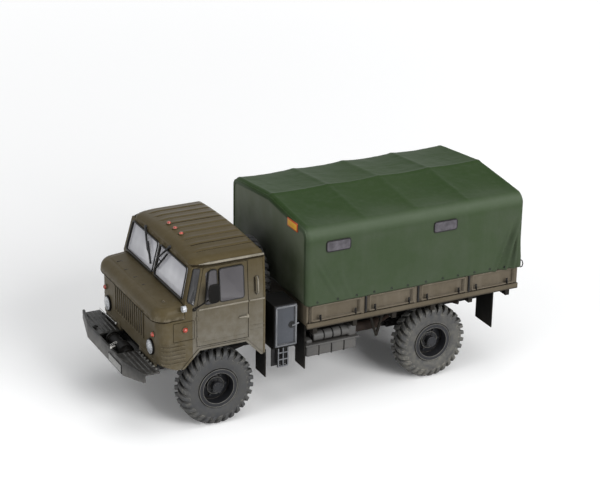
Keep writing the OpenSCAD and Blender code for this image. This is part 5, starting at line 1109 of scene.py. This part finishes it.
def buildShackle(look):
    bm = bmesh.new()
    x, y, z = look["pin"]
    head = (x + 0.9, y + 0.9, z + 0.5)
    roundBar(bm, (x - 1.1, y - 0.5, z + 0.2), head, 0.3, 0, 10)
    turnedShape(bm, [(0, 0.5), (0.38, 0.4), (0.5, 0), (0.38, -0.4), (0, -0.5)], head, (0, 0, 1), 0, 12)
    link = [(0.42, 0.13), (0.55, 0), (0.42, -0.13), (0.29, 0), (0.42, 0.13)]
    for number, (x, y, z) in enumerate(look["chain"]):
        turnedShape(bm, link, (x, y, z + 0.25), (0.2, 0.3, 1) if number % 2 else (1, 0.4, 0.2), 0, 12)
    ball = [(0, 0.62), (0.44, 0.44), (0.62, 0), (0.44, -0.44), (0, -0.62)]
    turnedShape(bm, ball, look["knob"], (0, 0, 1), 1, 14)
    roundBar(bm, look["leverRoot"], look["knob"], look["lever"], 1, 8)
    # the studs' pale paint is a painted highlight on each bump
    stud = [(0, 0.5), (0.35, 0.44), (0.52, 0.2), (0.58, -0.2), (0, -0.2)]
    for y in look["studs"]:
        turnedShape(bm, stud, (look["studX"], y, look["studZ"]), (0, 0, 1), 2, 10)
    newPiece("towShackle", bm, [bareMetal, platePale, rimEdge])


buildShackle(shackleLook)
print("trim and shackle placed")

# tyres: a turned carcass with two rows of slanting lugs that run down over the shoulders
tyreShape = {"lugs": 30,
             "path": [(0.12, 14.1), (1.2, 14.12), (2.4, 14.1), (3.3, 13.88), (3.92, 13.4), (4.26, 12.7),
                      (4.42, 11.9)],
             "heights": [1.04, 1.07, 1.08, 1.08, 0.8, 0.42, 0.1], "width": 0.68, "top": 0.56, "slant": 0.9,
             "edge": 0.13,
             "side": [(7.2, 3.5), (7.95, 3.62), (8.15, 3.92), (8.4, 4.06), (8.62, 4.0), (9.3, 4.26),
                      (10.4, 4.45), (11.4, 4.46), (12.4, 4.3), (13.2, 3.9), (13.75, 3.35), (14.02, 2.5),
                      (14.1, 1.2)]}
wheels = {"tyre_front_left": (1, tyreVinyl), "tyre_front_right": (-1, tyreVinyl),
          "tyre_rear_left": (1, tyreDusty), "tyre_rear_right": (-1, tyreDusty), "spare_tyre": (0, tyreVinyl)}


def alongPath(points, share):
    spot = share * (len(points) - 1)
    index = min(len(points) - 2, int(spot))
    part = spot - index
    return [a + (b - a) * part for a, b in zip(points[index], points[index + 1])]


def buildLug(look):
    own = bmesh.new()
    bmesh.ops.create_cube(own, size=1.0)
    lengthways = [edge for edge in own.edges if abs(edge.verts[0].co.y - edge.verts[1].co.y) > 0.5]
    bmesh.ops.subdivide_edges(own, edges=lengthways, cuts=5, use_grid_fill=True)
    pitch = math.tau / look["lugs"]
    heights = [(h,) for h in look["heights"]]
    for vert in own.verts:
        across, share, up = vert.co.x * 2, vert.co.y + 0.5, vert.co.z + 0.5
        wide, radius = alongPath(look["path"], share)
        before = alongPath(look["path"], max(0, share - 0.08))
        after = alongPath(look["path"], min(1, share + 0.08))
        slope = Vector((after[0] - before[0], after[1] - before[1])).normalized()
        tall = alongPath(heights, share)[0] if up > 0.5 else -0.5
        wide, radius = wide - slope.y * tall, radius + slope.x * tall
        span = pitch / 2 * (look["top"] if up > 0.5 else look["width"]) * (1 - 0.18 * share)
        turn = across * span + look["slant"] * pitch * share
        vert.co = (radius * math.cos(turn), radius * math.sin(turn), wide)
    bmesh.ops.recalc_face_normals(own, faces=own.faces)
    roundOff(own, sharpEdges(own, 0.7), look["edge"], 2)
    return own


def wheelName(nodeName, ending):
    return nodeName.replace("_", " ").title().replace(" ", "") + ending


def seatOn(bm, nodeName, axis):  # moves a shape turned about z onto the middle of a node
    x, y, z = nodeMid(nodeName)
    place = Matrix.Translation((x - frontAxle, y, z))
    bmesh.ops.transform(bm, matrix=place @ aimed(axis), verts=bm.verts)


def buildTyre(nodeName, side, mat, look):
    bm = bmesh.new()
    half = look["side"]
    ring = half + [(half[-1][0], 0.0)] + [(radius, -wide) for radius, wide in reversed(half)] + [half[0]]
    turnedShape(bm, ring, (0, 0, 0), (0, 0, 1), 0, 72)
    row = buildLug(look)
    count = look["lugs"]
    bmesh.ops.spin(row, geom=row.verts[:] + row.edges[:] + row.faces[:], axis=(0, 0, 1), cent=(0, 0, 0),
                   angle=math.tau * (count - 1) / count, steps=count - 1, use_duplicate=True)
    twin = row.copy()
    bmesh.ops.scale(twin, vec=(1, 1, -1), verts=twin.verts)
    bmesh.ops.rotate(twin, cent=(0, 0, 0), matrix=Matrix.Rotation(math.pi / count, 3, "Z"), verts=twin.verts)
    bmesh.ops.recalc_face_normals(twin, faces=twin.faces)
    joinShape(bm, row)
    joinShape(bm, twin)
    seatOn(bm, nodeName, (0, side, 0) if side else (-1, 0, 0))
    body = "truck" if side == 0 else nodeName.replace("tyre", "wheel")
    newPiece(wheelName(nodeName, "Tread"), bm, [mat], body=body, stands=(nodeName,), sharp=35)


for nodeName, (side, mat) in wheels.items():
    buildTyre(nodeName, side, mat, tyreShape)
print("tyres moulded")

# pale flange edge, hub ring and bolts on each rim
# rings are (radius, height, thickness), bolts are (number, ring, base, size)
rimLook = {"rings": [(7.78, 4.22, 0.16), (6.35, 4.2, 0.13), (3.45, 1.35, 0.14)],
           "bolts": [(6, 2.75, 1.2, 0.42), (8, 1.55, 3.55, 0.27)]}


def buildRimTrim(nodeName, side, look):
    bm = bmesh.new()
    for radius, out, thick in look["rings"]:
        inner, outer, slope = radius - thick, radius + thick, out + thick * 0.6
        bead = [(inner, out - 0.1), (radius - thick * 0.7, slope), (radius, out + thick),
                (radius + thick * 0.7, slope), (outer, out - 0.1), (inner, out - 0.1)]
        turnedShape(bm, bead, (0, 0, 0), (0, 0, 1), 0, 56)
    for count, ring, base, size in look["bolts"]:
        for index in range(count):
            turn = index * math.tau / count
            x, y = ring * math.cos(turn), ring * math.sin(turn)
            roundBar(bm, (x, y, base - 0.3), (x, y, base + size), size, 1, 6)
    seatOn(bm, nodeName, (0, side, 0))
    body = nodeName.replace("tyre", "wheel")
    newPiece(wheelName(nodeName, "RimTrim"), bm, [rimEdge, rimPaint], body=body)


for nodeName, (side, mat) in wheels.items():
    if side:
        buildRimTrim(nodeName, side, rimLook)

# frames pressed into the side boards and the tailgate, one for each bay, as corner radius, width and height
boardLook = {"bays": [(-58.6, -37.2), (-82.0, -62.2), (-105.4, -85.4), (-128.6, -108.6)], "low": 37.0,
             "high": 43.5, "half": 33.42, "gaps": [-60.9, -84.2, -107.4], "gate": -130.7,
             "gateBays": [(-31.2, -11.2), (-9.8, 9.8), (11.2, 31.2)], "gateHinges": [-10.5, 10.5],
             "frame": (0.35, 0.5, 0.12)}


def buildBoardFrames(look):
    bm = bmesh.new()
    low, high, half, gate = look["low"], look["high"], look["half"], look["gate"]
    for back, ahead in look["bays"]:
        spots = ((ahead, low), (back, low), (back, high), (ahead, high))
        for side in (1, -1):
            ringFrame(bm, [(x, side * half, z) for x, z in spots][::side], *look["frame"], 0, 2)
    deep, tall = (half - 0.4, half + 0.06), (low - 0.4, high + 0.4)
    for x in look["gaps"]:  # the dark gap beside each post
        for side in (1, -1):
            sideBlock(bm, side, (x - 0.3, x + 0.3), deep, tall, 0.05, 1)
    for right, left in look["gateBays"]:
        spots = ((left, low), (right, low), (right, high), (left, high))
        ringFrame(bm, [(gate, y, z) for y, z in spots], *look["frame"], 0, 2)
    for y in look["gateHinges"]:
        softBlock(bm, (gate - 0.2, y - 0.6, low - 1.0), (gate + 0.3, y + 0.6, high - 1.2), 0.14, 0)
        roundBar(bm, (gate - 0.1, y - 0.8, low - 0.8), (gate - 0.1, y + 0.8, low - 0.8), 0.36, 1, 10)
    newPiece("boardFrames", bm, [bedPaint, rubberBlack])


buildBoardFrames(boardLook)
print("rims and boards trimmed")

# number plate on the bumper and the sign on the canvas, both blank
signLook = {"plateX": 34.04, "plateY": (4.4, 17.6), "plateZ": (22.9, 26.6), "signY": (16.9, 25.3),
            "signZ": (71.2, 74.5), "signX": -35.1, "plateEdge": 0.4, "signEdge": 0.45}


def buildPlates(look):
    bm = bmesh.new()
    x, (yLow, yHigh), (zLow, zHigh), edge = look["plateX"], look["plateY"], look["plateZ"], look["plateEdge"]
    softBlock(bm, (x - 0.2, yLow, zLow), (x + 0.3, yHigh, zHigh), 0.12, 0)
    softBlock(bm, (x, yLow + edge, zLow + edge), (x + 0.34, yHigh - edge, zHigh - edge), 0.1, 1)
    x, (yLow, yHigh), (zLow, zHigh), edge = look["signX"], look["signY"], look["signZ"], look["signEdge"]
    softBlock(bm, (x - 0.3, yLow, zLow), (x + 0.45, yHigh, zHigh), 0.1, 2)
    softBlock(bm, (x, yLow + edge, zLow + edge), (x + 0.52, yHigh - edge, zHigh - edge), 0.08, 3)
    newPiece("blankPlates", bm, [rubberBlack, platePaint, signRed, signYellow],
             stands=("blank_plates",))


buildPlates(signLook)

# hooks and latches along the side boards
hookLook = {"places": [-56.2, -64.8, -79.9, -88.0, -102.5, -110.6, -125.0, -41.0], "half": 33.35,
            "height": 38.2}


def buildHooks(look):
    bm = bmesh.new()
    half, z = look["half"], look["height"]
    for x in look["places"]:
        for side in (1, -1):
            sideBlock(bm, side, (x - 0.45, x + 0.45), (half, half + 0.35), (z - 0.9, z + 1.2), 0.12)
            bend = (x, side * (half + 0.75), z - 0.2)
            roundBar(bm, (x, side * (half + 0.3), z + 0.6), bend, 0.26)
            roundBar(bm, bend, (x, side * (half + 0.6), z - 1.1), 0.24)
    newPiece("boardHooks", bm, [chassisPaint])


buildHooks(hookLook)
print("plates and hooks placed")

# apron under the cab's nose, down to the bumper's treads
apronLook = {"x": (22.7, 23.95), "y": (9.7, 24.6), "z": (26.9, 30.2)}


def buildApron(look):
    bm = bmesh.new()
    for side in (1, -1):
        sideBlock(bm, side, look["x"], look["y"], look["z"], 0.25, 0, 3)
    newPiece("noseApron", bm, [cabPaint])


buildApron(apronLook)

# tanks on both sides: a shelf with a strapped box below it and a round tank with a valve block above it
tankLook = {"x": (-59.6, -37.6), "y": (15.9, 28.9), "z": (19.8, 24.7), "shelfX": (-60.3, -36.9),
            "shelfY": (11.8, 29.9), "shelf": 25.3, "drum": (-58.4, -40.9), "drumY": 26.75, "drumZ": 27.5,
            "radius": 2.05, "straps": [-54.1, -48.6, -43.1], "drumStraps": [-52.9, -49.2, -45.4],
            "valveY": (24.2, 29.0), "valveTop": 29.9, "bracketY": (25.2, 28.6), "bracketTop": 26.9}


def buildTanks(look):
    bm = bmesh.new()
    for side in (1, -1):
        def block(xs, ys, zs, radius, index=0):
            sideBlock(bm, side, xs, ys, zs, radius, index, 3)

        block(look["x"], look["y"], look["z"], 0.9)
        block(look["shelfX"], look["shelfY"], (look["z"][1] - 0.05, look["shelf"]), 0.14)
        (inner, outer), (low, high) = look["y"], look["z"]
        for x in look["straps"]:
            block((x - 0.3, x + 0.3), (inner - 0.1, outer + 0.14), (low + 0.05, high - 0.1), 0.2, 1)
        back, ahead = look["drum"]
        y, z, r = side * look["drumY"], look["drumZ"], look["radius"]
        end = back - ahead
        drum = [(0, -0.35), (r * 0.42, -0.35), (r * 0.5, 0.05), (r * 0.72, 0.1), (r * 0.94, -0.15)]
        drum += [(r, -0.55), (r, end + 0.6), (r * 0.9, end + 0.15), (r * 0.6, end), (0, end)]
        turnedShape(bm, drum, (ahead, y, z), (1, 0, 0), 0, 28)
        cap = [(0, -0.3), (r * 0.4, -0.3), (r * 0.4, -0.2), (0, -0.2)]
        turnedShape(bm, cap, (ahead, y, z), (1, 0, 0), 1, 20)
        strap = [(r - 0.2, 0.28), (r + 0.1, 0.28), (r + 0.1, -0.28), (r - 0.2, -0.28), (r - 0.2, 0.28)]
        for x in look["drumStraps"]:
            turnedShape(bm, strap, (x, y, z), (1, 0, 0), 1, 28)
        seat = look["shelf"] - 0.1
        block((back - 1.0, back + 2.6), look["valveY"], (seat, look["valveTop"]), 0.8)
        block((ahead + 0.6, ahead + 3.2), look["bracketY"], (seat, look["bracketTop"]), 0.4)
    newPiece("fuelTanks", bm, [tankPaint, chassisPaint], stands=("fuel_tanks",))


buildTanks(tankLook)

# locker door: pale rim and a lever in a dark dish; below it the step's worn bars on a dark plate
lockerLook = {"x": (-32.65, -23.75), "z": (27.45, 44.05), "face": 30.0, "rim": 0.62,
              "dish": (-30.75, 35.75, 1.35), "lever": (-33.4, 36.3), "posts": (-30.05, -28.0, -25.95),
              "rungs": (18.15, 20.98, 23.82), "stepFace": 28.2}


def buildLocker(look):
    bm = bmesh.new()
    (back, ahead), (low, high), face = look["x"], look["z"], look["face"]
    corners = [(ahead, face, low), (back, face, low), (back, face, high), (ahead, face, high)]
    ringFrame(bm, corners, 0.3, look["rim"], 0.07, 0, 3)
    x, z, r = look["dish"]
    dish = [(0, 0.05), (r * 0.6, 0.02), (r * 0.85, 0.12), (r, 0.1), (r * 1.05, -0.2), (0, -0.2)]
    turnedShape(bm, dish, (x, face - 0.25, z), (0, 1, 0), 1, 22)
    tipX, tipZ = look["lever"]
    roundBar(bm, (x, face + 0.05, z - 0.45), (tipX, face + 0.3, tipZ), 0.3, 0, 10, 0.24)
    step = look["stepFace"]
    back, ahead = look["posts"][0], look["posts"][-1]
    bottom, top = look["rungs"][0] - 0.3, look["rungs"][-1] + 2.0
    for x in look["posts"]:
        softBlock(bm, (x - 0.26, step - 0.2, bottom), (x + 0.26, step + 0.14, top), 0.1, 0)
    for z in look["rungs"]:
        softBlock(bm, (back - 0.3, step - 0.2, z - 0.26), (ahead + 0.3, step + 0.12, z + 0.26), 0.1, 0)
    softBlock(bm, (back - 0.9, step - 2.3, bottom), (ahead + 2.2, step - 1.9, top + 0.4), 0.12, 1)
    newPiece("lockerTrim", bm, [boxEdge, rubberBlack])


buildLocker(lockerLook)

# rear lamps: bracket, black cup and a domed red lens
rearLampLook = {"x": -130.55, "y": 24.0, "z": 30.4, "radius": 1.5, "plateX": (-130.2, -129.6),
                "plateY": (21.8, 26.2), "plateZ": (31.0, 35.0)}


def buildRearLamps(look):
    bm = bmesh.new()
    r = look["radius"]
    cup = [(0, -1.0), (r * 0.9, -1.0), (r, -0.8), (r, 0.02), (r * 0.95, 0.12), (r * 0.86, 0.12),
           (r * 0.86, -0.1), (0, -0.1)]
    lens = [(0, 0.3), (r * 0.3, 0.28), (r * 0.6, 0.2), (r * 0.8, 0.04), (r * 0.86, -0.1), (0, -0.1)]
    for side in (1, -1):
        place = (look["x"], side * look["y"], look["z"])
        turnedShape(bm, cup, place, (-1, 0, 0), 1, 24)
        turnedShape(bm, lens, place, (-1, 0, 0), 0, 24)
        sideBlock(bm, side, look["plateX"], look["plateY"], look["plateZ"], 0.2, 1, 3)
    newPiece("rearLamps", bm, [lampOrange, rubberBlack], stands=("rear_lamps",))


buildRearLamps(rearLampLook)
print("apron, tanks, locker and rear lamps placed")

# studio floor, world and softboxes; each lamp as place, target, size and power
stageLook = {"floorSize": 3.0, "floorShade": 0.8, "farGlow": 0.45, "glowReach": (0.13, 0.75),
             "worldStrength": 0.36, "worldColor": (0.97, 0.985, 1.0, 1),
             "lamps": {"overheadSoftbox": ((-0.1, 0.15, 0.9), (0, 0, 0.03), 0.7, 2.9),
                       "sideSoftbox": ((-0.28, 0.95, 0.5), (0, 0, 0.04), 0.6, 11.0),
                       "frontSoftbox": ((0.85, 0.15, 0.3), (0.03, 0, 0.04), 0.5, 2.4)}}


# floor and world read as white to the eye, to gloss and to glass, and stay plain for the light on the truck
def seenDirectly(tree):
    path = tree.nodes.new("ShaderNodeLightPath")
    seen = mathNode(tree, "ADD", path.outputs["Is Camera Ray"], path.outputs["Is Glossy Ray"])
    return mathNode(tree, "ADD", seen, path.outputs["Is Transmission Ray"])


def buildStage(look):
    bm = bmesh.new()
    bmesh.ops.create_grid(bm, x_segments=2, y_segments=2, size=look["floorSize"])
    mesh = bpy.data.meshes.new("studioFloor")
    bm.to_mesh(mesh)
    bm.free()
    floor = bpy.data.objects.new("studioFloor", mesh)
    bpy.context.scene.collection.objects.link(floor)
    mat, tree, shader = freshMaterial("studioWhite")
    tree.nodes.remove(shader)
    diffuse = tree.nodes.new("ShaderNodeBsdfDiffuse")
    shade = look["floorShade"]
    tone = blendColor(tree, seenDirectly(tree), (shade, shade, shade), (1.0, 1.0, 1.0))
    tree.links.new(tone, diffuse.inputs["Color"])
    coords = objectCoords(tree)[0]
    reach = tree.nodes.new("ShaderNodeVectorMath")
    reach.operation = "LENGTH"
    tree.links.new(coords, reach.inputs[0])
    glow = tree.nodes.new("ShaderNodeEmission")
    away = ramp(tree, reach.outputs["Value"], *look["glowReach"], greys(0, look["farGlow"]))
    tree.links.new(blendColor(tree, seenDirectly(tree), (0.0, 0.0, 0.0), away), glow.inputs["Color"])
    both = tree.nodes.new("ShaderNodeAddShader")
    tree.links.new(diffuse.outputs["BSDF"], both.inputs[0])
    tree.links.new(glow.outputs["Emission"], both.inputs[1])
    tree.links.new(both.outputs["Shader"], tree.nodes["Material Output"].inputs["Surface"])
    mesh.materials.append(mat)
    world = bpy.data.worlds.new("studioLight")
    world.use_nodes = True
    tree = world.node_tree
    background = tree.nodes["Background"]
    background.inputs["Color"].default_value = look["worldColor"]
    strength = look["worldStrength"]
    bright = blendColor(tree, seenDirectly(tree), (strength, strength, strength), (1.0, 1.0, 1.0))
    tree.links.new(bright, background.inputs["Strength"])
    bpy.context.scene.world = world


def areaLamp(name, place, target, size, power):
    data = bpy.data.lights.new(name, "AREA")
    data.shape = "SQUARE"
    data.size = size
    data.energy = power
    lamp = bpy.data.objects.new(name, data)
    lamp.location = place
    lamp.rotation_euler = (Vector(target) - Vector(place)).to_track_quat("-Z", "Y").to_euler()
    bpy.context.scene.collection.objects.link(lamp)


buildStage(stageLook)
for lampName, (place, target, size, power) in stageLook["lamps"].items():
    areaLamp(lampName, place, target, size, power)

# camera fitted to the photo
viewSettings = {"place": (0.304237, 0.593783, 0.328725), "yaw": -2.0448, "pitch": -0.3916, "roll": 0.0161,
                "lens": 109.685, "sensor": 36, "clip": (0.01, 20)}


def buildCamera(look):
    data = bpy.data.cameras.new("photoCamera")
    data.sensor_width = look["sensor"]
    data.sensor_fit = "HORIZONTAL"
    data.lens = look["lens"]
    data.clip_start, data.clip_end = look["clip"]
    camera = bpy.data.objects.new("photoCamera", data)
    cosP, sinP = math.cos(look["pitch"]), math.sin(look["pitch"])
    ahead = Vector((cosP * math.cos(look["yaw"]), cosP * math.sin(look["yaw"]), sinP))
    side = ahead.cross(Vector((0, 0, 1))).normalized()
    up = side.cross(ahead)
    cosR, sinR = math.cos(look["roll"]), math.sin(look["roll"])
    right = side * cosR + up * sinR
    top = up * cosR - side * sinR
    turn = Matrix((right, top, -ahead)).transposed().to_4x4()
    camera.matrix_world = Matrix.Translation(look["place"]) @ turn
    bpy.context.scene.collection.objects.link(camera)
    bpy.context.scene.camera = camera


buildCamera(viewSettings)
bpy.context.scene.view_settings.view_transform = "Standard"
print("stage and camera set")
